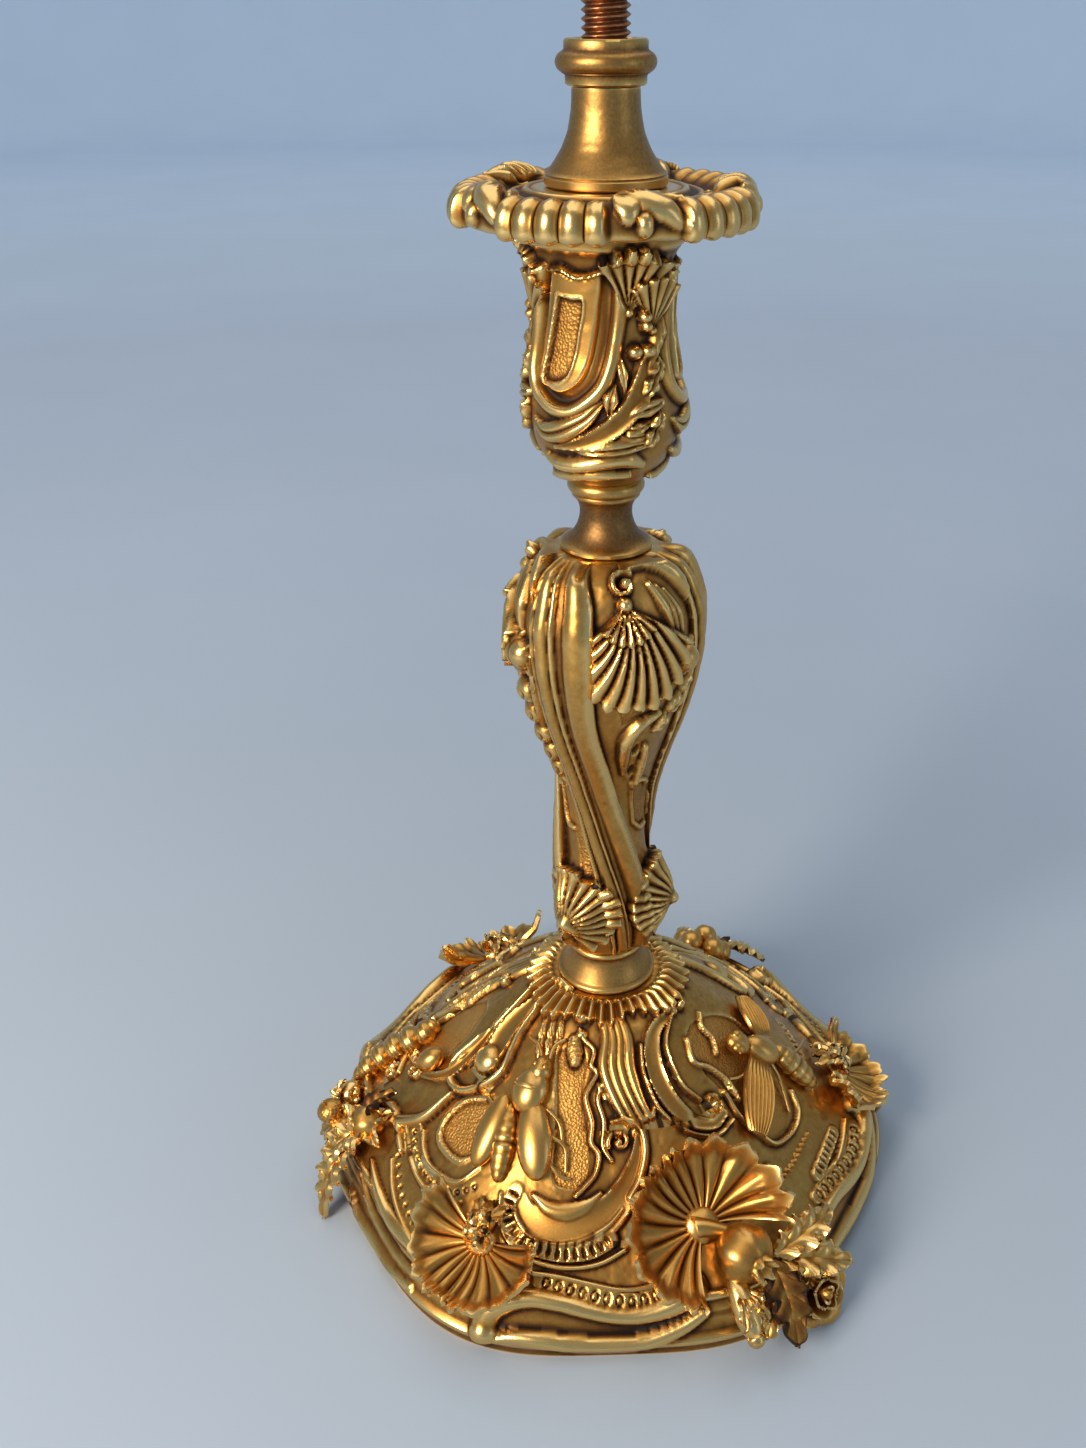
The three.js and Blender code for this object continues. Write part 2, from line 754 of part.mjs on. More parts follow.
function makeStem() {
  const count = stemBands * samplesPerBand;
  const heightShares = [
    0, 0.05, 0.13, 0.17, 0.22, 0.28, 0.37, 0.44, 0.5, 0.56, 0.63, 0.7, 0.77, 0.84, 0.9, 0.95, 1,
  ];
  const outside = heightShares.map((share) => Array.from({ length: count }, (_, i) => (
    stemPoint(share, stemBandAngle(share) + (wholeTurn * i) / count)
  )));
  const coreShares = [0.93, 0.8, 0.6, 0.48];
  const coreEndShare = 0.4;
  const core = coreShares.map((share) => {
    const radius = stemRadius * stemRadiusShares(share) - stemCoreWall - reedDepth;
    return ringAt(stemBase + stemLength * share, count, () => radius, stemBandAngle(share));
  });
  const boreRing = (z, share) => ringAt(z, count, () => rodHoleRadius, stemBandAngle(share));
  const inside = [
    boreRing(stemBase + stemLength, 1),
    boreRing(stemBase + stemLength * coreShares[0] + stemCoreWall, 1),
    ...core,
    boreRing(stemBase + stemLength * coreEndShare, coreEndShare),
    boreRing(stemBase, 0),
  ];
  const casting = joined([hollowBody([...outside, ...inside]), ...stemOrnaments()]);
  const stemBlock = new THREE.CylinderGeometry(2 * stemRadius, 2 * stemRadius, stemLength)
    .rotateX(Math.PI / 2).translate(0, 0, stemBase + stemLength / 2);
  addPiece('stem_casting', geometryOf(mainBody(casting.intersect(solidOf(stemBlock)))), 'gildedCasting');
}

// Base: outline radius and the height of its outer face at a share of that radius
const domeHeightShares = smoothShares([
  [0, 1], [0.192, 1], [0.26, 0.945], [0.36, 0.848], [0.48, 0.725], [0.6, 0.592], [0.72, 0.458],
  [0.82, 0.352], [0.9, 0.268], [0.94, 0.235], [0.97, 0.16], [1, 0.06],
]);

function outlineRadius(angle) {
  return baseRadius + cornerSwell * Math.cos(baseCorners * (angle - firstCorner));
}

function domePoint(radius, angle) {
  const z = baseHeight * domeHeightShares(radius / outlineRadius(angle));
  return new THREE.Vector3(radius * Math.cos(angle), radius * Math.sin(angle), z);
}

function domeFrame(share, angle) {
  const radius = share * outlineRadius(angle);
  const above = domePoint(radius - baseWall, angle);
  const below = domePoint(radius + baseWall, angle);
  return surfaceFrame(domePoint(radius, angle), above, below, angle);
}

// Every bar and knob of the base, at all its turns, grown by a gap where it trims its neighbours.
function baseOrnaments(grow) {
  const bars = Object.values(baseBars).flatMap((bar) => (
    bar.turns.map((turn) => barOn(domeFrame, bar, turn, grow))
  ));
  const knobs = Object.values(baseKnobs).flatMap((knob) => (
    knob.turns.map((turn) => knobOn(domeFrame, knob, turn, grow))
  ));
  return [...bars, ...knobs];
}

const domeSampleShares = [0.32, 0.44, 0.6, 0.72, 0.82, 0.94, 0.975];

function domeRings(count, lift) {
  const samples = domeSampleShares.map((share) => Array.from({ length: count }, (_, i) => {
    const angle = (wholeTurn * i) / count;
    const bead = rimBeadRise * bump(share - 0.94, 0.035);
    return new THREE.Vector3(0, 0, lift + bead).applyMatrix4(domeFrame(share, angle));
  }));
  return samples.reverse();
}

// The fluted ruff round the crown: every second point is sunk.
function ruffRing(count, lift, fluteDepth) {
  return Array.from({ length: count }, (_, i) => {
    const angle = (wholeTurn * i) / count;
    const flute = i % samplesPerFlute === 1 ? fluteDepth : 0;
    return domePoint(ruffRadius, angle).add(new THREE.Vector3(0, 0, ruffRise + lift - flute));
  });
}

function makeBaseBody() {
  const count = ruffFlutes * samplesPerFlute;
  const outside = [
    ringAt(0, count, outlineRadius),
    ringAt(baseHeight * domeHeightShares(1), count, outlineRadius),
    ...domeRings(count, 0),
    ruffRing(count, 0, ruffFluteDepth),
    ringAt(baseHeight, count, () => crownRadius + crownMargin),
    ringAt(baseHeight, count, () => crownRadius),
  ];
  const innerShares = [0.22, 0.4, 0.61, 0.82, 0.91];
  const inner = innerShares.map((share) => Array.from({ length: count }, (_, i) => {
    const angle = (wholeTurn * i) / count;
    return new THREE.Vector3(0, 0, -baseWall).applyMatrix4(domeFrame(share, angle));
  }));
  const inside = [
    ringAt(baseHeight, count, () => rodHoleRadius),
    ringAt(baseHeight - baseWall, count, () => rodHoleRadius),
    ringAt(baseHeight - baseWall, count, () => washerRadius + jointGap),
    ...inner,
    ringAt(0, count, (angle) => outlineRadius(angle) - footWidth),
  ];
  return joined([hollowBody([...outside, ...inside]), ...baseOrnaments(0)]);
}

// The space under the base's outer face, grown by the joint line, for trimming what lies on it.
function makeDomeCutter() {
  const count = ruffFlutes * samplesPerFlute;
  const dome = solidBody([
    ringAt(-cutOverrun * baseCorners, count, (angle) => outlineRadius(angle) + jointGap),
    ringAt(baseHeight * domeHeightShares(1), count, (angle) => outlineRadius(angle) + jointGap),
    ...domeRings(count, jointGap),
    ruffRing(count, jointGap, 0),
    ringAt(baseHeight + jointGap, count, () => crownRadius + crownMargin),
  ]);
  return joined([dome, ...baseOrnaments(jointGap)]);
}

// A curved plate on a fan of ribs: rows run from the root to the rim, columns along the arc.
function plateGeometry(columns, rows, faceAt, thickness) {
  const front = [];
  const back = [];
  for (let row = 0; row <= rows; row += 1) {
    for (let column = 0; column <= columns; column += 1) {
      const point = faceAt(column / columns, row / rows, column);
      front.push(point);
      back.push(point.clone().add(new THREE.Vector3(0, 0, -thickness)));
    }
  }
  const stride = columns + 1;
  const offset = front.length;
  const index = [];
  const quad = (a, b, c, d) => index.push(a, b, c, a, c, d);
  for (let row = 0; row < rows; row += 1) {
    for (let column = 0; column < columns; column += 1) {
      const a = row * stride + column;
      quad(a, a + stride, a + stride + 1, a + 1);
      quad(offset + a, offset + a + 1, offset + a + stride + 1, offset + a + stride);
    }
    const [left, right] = [row * stride, row * stride + columns];
    quad(left, offset + left, offset + left + stride, left + stride);
    quad(right, right + stride, offset + right + stride, offset + right);
  }
  for (let column = 0; column < columns; column += 1) {
    const [root, rim] = [column, rows * stride + column];
    quad(root, root + 1, offset + root + 1, offset + root);
    quad(rim, offset + rim, offset + rim + 1, rim + 1);
  }
  const geometry = new THREE.BufferGeometry().setFromPoints([...front, ...back]);
  geometry.setIndex(index);
  return geometry;
}

// Scallop shell: ribs fan out from a root, the rim stands off the surface and is notched between ribs.
const shellRootShare = 0.16;
function shellGeometry({ radius, rise, thickness, ribs, fromAngle, toAngle, grow = 0 }) {
  const notch = 0.05;
  const ribDepth = 0.06;
  return plateGeometry(ribs * 2, 3, (along, outward, column) => {
    const angle = toAngle + (fromAngle - toAngle) * along;
    const valley = column % 2 === 1 ? 1 : 0;
    const share = shellRootShare + (1 - shellRootShare) * outward - notch * valley * outward;
    const reach = radius * share + grow * outward;
    const height = rise * outward * outward - radius * ribDepth * valley * outward + thickness + grow;
    return new THREE.Vector3(reach * Math.cos(angle), reach * Math.sin(angle), height);
  }, thickness + 2 * grow);
}

// The round boss that the ribs of a shell grow from, over its stud.
function shellBoss({ radius, thickness }, grow = 0) {
  const bossRadius = 1.5 * shellRootShare * radius + grow;
  const boss = new THREE.CylinderGeometry(bossRadius * 0.8, bossRadius, 2 * thickness, studSides);
  return boss.rotateX(Math.PI / 2).translate(0, 0, thickness / 2 + grow);
}

function wholeShell(sizes, frame, grow = 0) {
  const plate = shellGeometry({ ...sizes, grow });
  return joined([plate, shellBoss(sizes, grow)].map((part) => part.applyMatrix4(frame)));
}

// Leaf: a long plate with a raised midrib and a pointed tip that bends down over the rim.
function leafGeometry({ length, width, thickness, rise, droop = 0, grow = 0 }) {
  return plateGeometry(4, 4, (across, along) => {
    const side = 2 * across - 1;
    const half = (width / 2) * Math.sin(Math.PI * (0.12 + 0.86 * along)) ** 0.8 + grow;
    const arch = rise * Math.sin(Math.PI * (0.2 + 0.7 * along)) - droop * along ** 3;
    const fold = (thickness / 2) * Math.cos(wholeTurn * side);
    const height = arch + fold * Math.sin(Math.PI * along);
    return new THREE.Vector3(half * side, -along * (length + grow), height);
  }, thickness + 2 * grow).translate(0, 0, thickness / 2 + grow);
}

// Egg-shaped body with its long axis along Y, from a few stations of [share along, share of radius].
function pod(length, width, height, sides = 6, stationShares = ovalShares) {
  const rings = stationShares.map(([along, share]) => Array.from({ length: sides }, (_, i) => {
    const angle = (wholeTurn * i) / sides;
    const x = (width / 2) * share * Math.cos(angle);
    return new THREE.Vector3(x, (along - 0.5) * length, -(height / 2) * share * Math.sin(angle));
  }));
  return solidBody(rings);
}
const ovalShares = [[0, 0.3], [0.15, 0.76], [0.45, 1], [0.75, 0.8], [1, 0.25]];

function stud(length) {
  return new THREE.CylinderGeometry(studRadius, studRadius, length, studSides).rotateX(Math.PI / 2)
    .translate(0, 0, -length / 2);
}

function studHole(frame) {
  const radius = studRadius + jointGap;
  const hole = new THREE.CylinderGeometry(radius, radius, 4 * cutOverrun, studSides);
  return solidOf(hole.rotateX(Math.PI / 2).applyMatrix4(frame));
}

const domeCutter = makeDomeCutter();
const floorReach = 2 * baseRadius;
const floorBlock = new THREE.BoxGeometry(2 * floorReach, 2 * floorReach, floorReach);
const floorCutter = solidOf(floorBlock.translate(0, 0, jointGap - floorReach / 2));
const studHoles = [];

// A casting that sits on the dome is cut to its face, gets its stud, and a nut inside the wall.
function mountOnDome(name, shape, frame, others = []) {
  const studLength = baseWall + studNutSeat + studNutHeight + studBelowNut;
  const pin = stud(studLength + studHead).translate(0, 0, studHead).applyMatrix4(frame);
  const onStud = mainBody(shape.subtract(domeCutter)).add(solidOf(pin));
  const seated = others.reduce((rest, other) => rest.subtract(other), onStud);
  addPiece(name, geometryOf(mainBody(seated)), 'gildedCasting');
  studHoles.push(studHole(frame));
  const nut = nutGeometry(studNutAcross, studNutHeight, studRadius + jointGap);
  nut.translate(0, 0, -baseWall - studNutSeat - studNutHeight).applyMatrix4(frame);
  addPiece(name.replace(/(_\d)?$/, '_nut$1'), nut, 'hiddenSteel');
}

function placed(geometry, frame) {
  return solidOf(geometry.applyMatrix4(frame));
}

// A casting brazed on its neighbours: cut clear of the dome, the floor and what it lies on.
function addSeated(name, shape, others) {
  const seated = others.reduce((rest, other) => rest.subtract(other), shape.subtract(domeCutter));
  addPiece(name, geometryOf(mainBody(seated.subtract(floorCutter))), 'gildedCasting');
}

// Round fruit with an eye at one end, as [share along, share of radius]; its eye points as it is turned.
const fruitShares = [
  [0, 0.3], [0.08, 0.6], [0.25, 0.92], [0.46, 1], [0.68, 0.86], [0.85, 0.5], [0.9, 0.3], [1, 0.42],
];

function fruitAt({ radius, height, eyeTilt, eyeSwing }, frame, grow = 0) {
  const across = 2 * (radius + grow);
  const body = pod(height + grow, across, across, 8, fruitShares).rotateX(eyeTilt).rotateZ(eyeSwing);
  return placed(body.translate(0, 0, radius * 0.95), frame);
}

function leafFan(swings, sizes, frame) {
  return swings.map((swing) => leafGeometry(sizes).rotateZ(swing).applyMatrix4(frame));
}

function makeShellCorner() {
  const shellFrame = domeFrame(fanShellSeatShare, firstCorner + fanShellOffset);
  const shellSizes = {
    radius: fanShellRadius,
    rise: fanShellRise,
    thickness: fanShellThickness,
    ribs: fanShellRibs,
    fromAngle: 240 * degree,
    toAngle: -5 * degree,
  };
  const shellWithGap = wholeShell(shellSizes, shellFrame, jointGap);
  mountOnDome('fan_shell', wholeShell(shellSizes, shellFrame), shellFrame);

  const fruitFrame = domeFrame(pomegranateSeatShare, firstCorner + pomegranateOffset);
  const fruitSizes = {
    radius: pomegranateRadius,
    height: pomegranateHeight,
    eyeTilt: pomegranateEyeTilt,
    eyeSwing: pomegranateEyeSwing,
  };
  const pomegranate = (grow) => fruitAt(fruitSizes, fruitFrame, grow);
  addSeated('pomegranate', pomegranate(0), [shellWithGap]);

  const roseFrame = domeFrame(roseSeatShare, firstCorner + roseOffset);
  const rose = (grow) => {
    const petalShares = [[0, 0.6], [0.4, 0.96], [0.75, 1], [0.95, 0.72], [0.8, 0.4]];
    const petalRadius = (angle) => (roseRadius + grow) * (Math.cos(rosePetals * angle) < 0 ? 0.88 : 1);
    const rings = petalShares.map(([up, share]) => (
      ringAt((roseHeight + grow) * up, rosePetals * 2, (angle) => petalRadius(angle) * share)
    ));
    return placed(solidBody(rings), roseFrame);
  };
  addSeated('rose', rose(0), [shellWithGap, pomegranate(jointGap)]);

  const sprayFrame = domeFrame(spraySeatShare, firstCorner + sprayOffset);
  const leafSizes = {
    length: sprayLeafLength,
    width: sprayLeafWidth,
    thickness: leafThickness,
    rise: leafRise,
  };
  const bud = pod(budLength, 2 * budRadius, 2 * budRadius).rotateZ(budSwing)
    .translate(budSideways, -budDownhill, budRadius * 0.6).applyMatrix4(sprayFrame);
  const spray = joined([...leafFan(frontLeafSwings, leafSizes, sprayFrame), bud]);
  addSeated('front_leaf_spray', spray, [shellWithGap, pomegranate(jointGap), rose(jointGap)]);
}

function makeNutCorner() {
  const corner = firstCorner - 2 * cornerAngle + nutCornerOffset;
  const frame = domeFrame(roundFruitSeatShare, corner);
  const fruitSizes = {
    radius: roundFruitRadius,
    height: roundFruitHeight,
    eyeTilt: roundFruitEyeTilt,
    eyeSwing: roundFruitEyeSwing,
  };
  const roundFruit = (grow) => fruitAt(fruitSizes, frame, grow);
  mountOnDome('round_fruit', roundFruit(0), frame);

  const acorn = (grow) => {
    const across = 2 * (acornRadius + grow);
    const body = pod(acornLength + 2 * grow, across, across).rotateX(acornTilt);
    return placed(body.translate(acornSideways, -acornDownhill, leafRise + acornLength * 0.36), frame);
  };
  addSeated('acorn', acorn(0), [roundFruit(jointGap)]);

  const nutFrame = domeFrame(hazelnutSeatShare, corner - hazelnutOffset);
  const hazelnut = (grow) => {
    const across = 2 * (hazelnutRadius + grow);
    return placed(pod(hazelnutLength + 2 * grow, across, across).translate(0, 0, hazelnutRadius), nutFrame);
  };
  addSeated('hazelnut', hazelnut(0), []);

  const calyxRadius = roundFruitRadius + calyxMargin;
  const calyx = new THREE.CylinderGeometry(calyxRadius, calyxRadius, 2 * leafThickness, turnedSides)
    .rotateX(Math.PI / 2).translate(0, 0, leafThickness / 4);
  const hangingLeaf = leafGeometry({
    length: hangingLeafLength,
    width: hangingLeafWidth,
    thickness: leafThickness,
    rise: leafRise,
    droop: hangingLeafDroop,
  }).rotateZ(hangingLeafSwing);
  const acornLeaf = leafGeometry({
    length: acornLeafLength,
    width: hangingLeafWidth,
    thickness: leafThickness,
    rise: leafRise,
  }).rotateZ(acornLeafSwing);
  const spray = joined([calyx, hangingLeaf, acornLeaf].map((part) => part.applyMatrix4(frame)));
  const others = [roundFruit(jointGap), acorn(jointGap), hazelnut(jointGap), studHole(frame)];
  addSeated('left_leaf_spray', spray, others);
}

function makeBerryCorner() {
  const corner = firstCorner + 2 * cornerAngle;
  const frame = domeFrame(berrySeatShare, corner);
  const bunch = (grow) => {
    const berry = (x, y, z) => new THREE.IcosahedronGeometry(berryRadius + grow, 1).translate(x, y, z);
    const around = Array.from({ length: berriesAround }, (_, i) => {
      const angle = (wholeTurn * i) / berriesAround;
      const [x, y] = [berryBunchRadius * Math.cos(angle), berryBunchRadius * Math.sin(angle)];
      return berry(x, y, berryRadius * 0.6);
    });
    const berries = [...around, berry(0, 0, berryRadius * 1.5)];
    return joined(berries.map((one) => one.applyMatrix4(frame)));
  };
  mountOnDome('berry_bunch', bunch(0), frame);
  const leafSizes = {
    length: sprayLeafLength,
    width: sprayLeafWidth,
    thickness: leafThickness,
    rise: leafRise,
  };
  const leaves = joined(leafFan(backLeafSwings, leafSizes, domeFrame(backLeafShare, corner)));
  addSeated('back_leaf_spray', leaves, [bunch(jointGap), studHole(frame)]);
}

function makeSideShell(number, corner) {
  const frame = domeFrame(sideShellSeatShare, corner);
  const sizes = {
    radius: sideShellRadius,
    rise: sideShellRise,
    thickness: sideShellThickness,
    ribs: sideShellRibs,
    fromAngle: 350 * degree,
    toAngle: 170 * degree,
  };
  mountOnDome(`side_shell_${number}`, wholeShell(sizes, frame).subtract(floorCutter), frame);
}

// Insects, each one casting with a stud
function makeBeetle() {
  const frame = domeFrame(beetleSeatShare, beetleAngle);
  const wingCase = pod(beetleLength * 0.6, beetleWidth * 0.62, beetleHeight);
  const rightCase = wingCase.clone().rotateZ(beetleRightCaseSwing)
    .translate(beetleWidth * 0.28, -beetleLength * 0.14, 0);
  const leftCase = wingCase.rotateZ(beetleLeftCaseSwing)
    .translate(-beetleWidth * 0.5, -beetleLength * 0.12, 0);
  const abdomen = pod(beetleLength * 0.58, beetleWidth * 0.36, beetleHeight * 0.8)
    .translate(-beetleWidth * 0.12, -beetleLength * 0.18, 0);
  const thorax = pod(beetleLength * 0.26, beetleWidth * 0.66, beetleHeight)
    .translate(0, beetleLength * 0.22, 0);
  const head = pod(beetleLength * 0.2, beetleWidth * 0.4, beetleHeight * 0.8)
    .translate(0, beetleLength * 0.4, 0);
  const parts = [rightCase, leftCase, abdomen, thorax, head];
  const shape = joined(parts.map((part) => part.translate(0, 0, beetleHeight * 0.12).applyMatrix4(frame)));
  mountOnDome('beetle', shape, frame);
}

function makeFly() {
  const frame = domeFrame(flySeatShare, flyAngle);
  const body = pod(flyLength * 0.5, flyWidth, flyHeight).translate(0, -flyLength * 0.22, 0);
  const thorax = pod(flyLength * 0.34, flyWidth * 1.05, flyHeight * 1.1).translate(0, flyLength * 0.14, 0);
  const head = pod(flyLength * 0.2, flyWidth * 0.8, flyHeight * 0.8).translate(0, flyLength * 0.36, 0);
  const trunk = [body, thorax, head].map((part) => part.rotateZ(flySwing));
  const wing = (length, swing) => leafGeometry({
    length,
    width: flyWidth * 1.3,
    thickness: flyHeight * 0.3,
    rise: flyHeight * 0.2,
  }).rotateZ(swing).translate(0, flyLength * 0.1, flyHeight * 0.05);
  const wings = [wing(lowerWingLength, lowerWingSwing), wing(upperWingLength, upperWingSwing)];
  const parts = [...trunk, ...wings].map((part) => part.translate(0, 0, flyHeight * 0.15));
  mountOnDome('fly', joined(parts.map((part) => part.applyMatrix4(frame))), frame);
}

function makeLarva() {
  const frame = domeFrame(larvaSeatShare, larvaAngle);
  const parts = Array.from({ length: larvaSegments }, (_, i) => {
    const along = (i + 0.5) / larvaSegments - 0.5;
    const swell = 1 - 0.9 * along * along;
    return pod((1.7 * larvaLength) / larvaSegments, larvaWidth * swell, larvaHeight * swell)
      .translate(0, larvaLength * along * 0.9, larvaHeight * 0.2).rotateZ(larvaSwing);
  });
  mountOnDome('larva', joined(parts.map((part) => part.applyMatrix4(frame))), frame);
}

// The assembly
makeRod();
makeTurnedPieces();
addPiece(
  'base_nut',
  nutGeometry(nutAcross, nutHeight, rodRadius + jointGap).translate(0, 0, nutBase),
  'hiddenSteel',
);
makePan();
makeCup();
makeStem();
makeShellCorner();
makeNutCorner();
makeBerryCorner();
for (let i = 0; i < sideShells; i += 1) {
  makeSideShell(i + 1, firstCorner + cornerAngle * (2 * i - 1));
}
makeBeetle();
makeFly();
makeLarva();
const drilledBase = studHoles.reduce((rest, hole) => rest.subtract(hole), makeBaseBody());
addPiece('base_shell', geometryOf(drilledBase), 'gildedCasting');

export default candlestick;
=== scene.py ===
import json
import math
import bpy
import numpy as np
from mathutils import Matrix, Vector


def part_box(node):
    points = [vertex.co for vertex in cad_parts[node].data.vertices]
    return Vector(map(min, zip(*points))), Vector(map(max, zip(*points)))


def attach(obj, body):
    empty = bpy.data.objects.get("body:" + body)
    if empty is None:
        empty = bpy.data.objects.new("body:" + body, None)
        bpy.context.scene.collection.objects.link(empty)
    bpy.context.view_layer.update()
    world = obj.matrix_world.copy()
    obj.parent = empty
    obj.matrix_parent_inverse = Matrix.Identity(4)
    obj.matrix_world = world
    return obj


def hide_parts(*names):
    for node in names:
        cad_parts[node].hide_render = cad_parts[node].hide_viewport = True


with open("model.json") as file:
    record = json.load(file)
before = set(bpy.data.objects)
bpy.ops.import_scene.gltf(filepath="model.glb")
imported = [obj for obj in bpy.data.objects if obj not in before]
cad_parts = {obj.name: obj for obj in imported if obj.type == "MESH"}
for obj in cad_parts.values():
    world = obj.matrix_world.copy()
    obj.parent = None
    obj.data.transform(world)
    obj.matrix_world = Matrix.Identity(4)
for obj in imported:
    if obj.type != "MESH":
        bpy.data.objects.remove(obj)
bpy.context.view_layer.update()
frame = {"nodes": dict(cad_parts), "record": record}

mm = 0.001
turn = 2 * math.pi
sideways = np.array([1.0, 0, 0])
upright = np.array([0, 0, 1.0])


# the camera: a pinhole at the photograph's viewing angle
cameraSetup = {
    "away": 345.0,        # mm from the candlestick's axis
    "height": 343.6,
    "pitch": 28.4,        # degrees down
    "focal": 1380.0,        # in pixels of a 1086 x 1448 frame
    "frameWide": 1086,
    "frameTall": 1448,
    "axisPixel": 606.0,        # the column where the stem stands in the frame
    "sensor": 36.0,
    "rayReach": (200, 560, 0.25),        # where a pixel's ray is tested: from, to and step in mm
}


def makeCamera():
    c = cameraSetup
    bpy.ops.object.camera_add(location=(0, -c["away"] * mm, c["height"] * mm),
                              rotation=(math.radians(90 - c["pitch"]), 0, 0))
    camera = bpy.context.active_object
    camera.data.sensor_width = c["sensor"]
    camera.data.lens = c["focal"] / c["frameTall"] * c["sensor"]
    camera.data.shift_x = -(c["axisPixel"] - c["frameWide"] / 2) / c["frameTall"]
    camera.data.clip_start = 0.01
    bpy.context.scene.camera = camera


makeCamera()
print("camera set")


# small helpers
def smoothStep(x):
    x = np.clip(x, 0, 1)
    return x * x * (3 - 2 * x)


def deselectAll():
    if bpy.context.object and bpy.context.object.mode != "OBJECT":
        bpy.ops.object.mode_set(mode="OBJECT")
    bpy.ops.object.select_all(action="DESELECT")


def pick(piece):        # makes one piece the only one selected
    deselectAll()
    piece.select_set(True)
    bpy.context.view_layer.objects.active = piece


def getPoints(piece):        # the vertices, in mm
    flat = np.empty(len(piece.data.vertices) * 3)
    piece.data.vertices.foreach_get("co", flat)
    return flat.reshape(-1, 3) / mm


def setPoints(piece, points):
    piece.data.vertices.foreach_set("co", (np.asarray(points) * mm).ravel())
    piece.data.update()


def closeSeams(piece, gap=0.004):        # merges what lies together and turns the faces outwards
    pick(piece)
    bpy.ops.object.mode_set(mode="EDIT")
    bpy.ops.mesh.select_all(action="SELECT")
    bpy.ops.mesh.remove_doubles(threshold=gap * mm)
    bpy.ops.mesh.dissolve_degenerate(threshold=gap * mm * 0.2)
    bpy.ops.mesh.normals_make_consistent(inside=False)
    bpy.ops.object.mode_set(mode="OBJECT")


def settle(piece):        # puts the piece's place into its mesh
    pick(piece)
    bpy.ops.object.transform_apply(location=True, rotation=True, scale=True)


def finishModifiers(piece):
    pick(piece)
    for modifier in list(piece.modifiers):
        bpy.ops.object.modifier_apply(modifier=modifier.name)


def joinPieces(pieces, name):
    deselectAll()
    for piece in pieces:
        piece.select_set(True)
    bpy.context.view_layer.objects.active = pieces[0]
    if len(pieces) > 1:
        bpy.ops.object.join()
    joined = bpy.context.view_layer.objects.active
    joined.name = name
    joined.data.name = name
    return joined


def smoothLine(points, step=0.8):        # a smooth curve through the points, in short steps
    p = np.array(points, float)
    padded = np.vstack([2 * p[0] - p[1], p, 2 * p[-1] - p[-2]])
    parts = []
    for i in range(len(p) - 1):
        a, b, c, d = padded[i:i + 4]
        t = np.linspace(0, 1, max(2, int(np.linalg.norm(c - b) / step)), endpoint=False)[:, None]
        parts.append(0.5 * (2 * b + (c - a) * t + (2 * a - 5 * b + 4 * c - d) * t * t
                            + (3 * b - a - 3 * c + d) * t ** 3))
    return np.vstack(parts + [p[-1:]])


def hermite(table):        # a smooth function through a table of pairs that doesn't overshoot
    x = np.array([row[0] for row in table], float)
    y = np.array([row[1] for row in table], float)
    step = np.diff(x)
    rise = np.diff(y) / step
    slope = np.zeros_like(x)
    slope[0] = rise[0]
    slope[-1] = rise[-1]
    same = rise[:-1] * rise[1:] > 0
    slope[1:-1][same] = 2 * rise[:-1][same] * rise[1:][same] / (rise[:-1] + rise[1:])[same]

    def value(at):
        at = np.clip(at, x[0], x[-1])
        i = np.clip(np.searchsorted(x, at, side="right") - 1, 0, len(x) - 2)
        h = step[i]
        t = (at - x[i]) / h
        return ((1 + 2 * t) * (1 - t) ** 2 * y[i] + t * (1 - t) ** 2 * h * slope[i]
                + t * t * (3 - 2 * t) * y[i + 1] + t * t * (t - 1) * h * slope[i + 1])
    return value


def hashNoise(points, size, seed=0):        # smooth noise from -1 to 1, the same on every run
    q = np.asarray(points, float) / size
    cell = np.floor(q)
    f = q - cell
    f = f * f * (3 - 2 * f)
    total = np.zeros(len(q))
    for dx in (0, 1):
        for dy in (0, 1):
            for dz in (0, 1):
                corner = cell + (dx, dy, dz)
                value = np.sin(corner @ np.array([127.1, 311.7, 74.7]) + seed * 17.3) * 43758.5453
                value = (value - np.floor(value)) * 2 - 1
                weight = (np.where(dx, f[:, 0], 1 - f[:, 0]) * np.where(dy, f[:, 1], 1 - f[:, 1])
                          * np.where(dz, f[:, 2], 1 - f[:, 2]))
                total += value * weight
    return total


def rays(pixels):        # where the camera is, and the directions of some pixels of the frame
    c = cameraSetup
    pitch = math.radians(c["pitch"])
    ahead = np.array([0, math.cos(pitch), -math.sin(pitch)])
    right = np.array([1.0, 0, 0])
    up = np.cross(right, ahead)
    uv = np.array(pixels, float).reshape(-1, 2)
    way = (ahead + (uv[:, :1] - c["axisPixel"]) / c["focal"] * right
           - (uv[:, 1:] - c["frameTall"] / 2) / c["focal"] * up)
    return np.array([0, -c["away"], c["height"]]), way / np.linalg.norm(way, axis=1)[:, None]


def seenOn(surfaceLevel, pixels):        # the places on a surface that those pixels show
    eye, ways = rays(pixels)
    reach = np.arange(*cameraSetup["rayReach"])
    found = []
    for way in ways:
        along = eye + reach[:, None] * way
        level = surfaceLevel(along)
        inside = np.nonzero(level < 0)[0]
        if len(inside) and inside[0] > 0:
            i = inside[0]
            part = level[i - 1] / (level[i - 1] - level[i])
            found.append(along[i - 1] + (along[i] - along[i - 1]) * part)
        else:
            found.append(along[np.argmin(level)])
    return np.array(found)


def turnedBy(points, degrees):        # points turned about the stem
    a = math.radians(degrees)
    spin = np.array([[math.cos(a), -math.sin(a), 0], [math.sin(a), math.cos(a), 0], [0, 0, 1]])
    return np.asarray(points) @ spin.T


# gives the smooth line that some pixels show, turned by k degrees
def lineMaker(surfaceLevel, step, k):
    return lambda pixels: turnedBy(smoothLine(seenOn(surfaceLevel, pixels), step), k)


def spot(at, x, y):        # the place that one pixel shows, by one of those line makers
    return at([(x, y), (x + 1, y + 1)])[0]


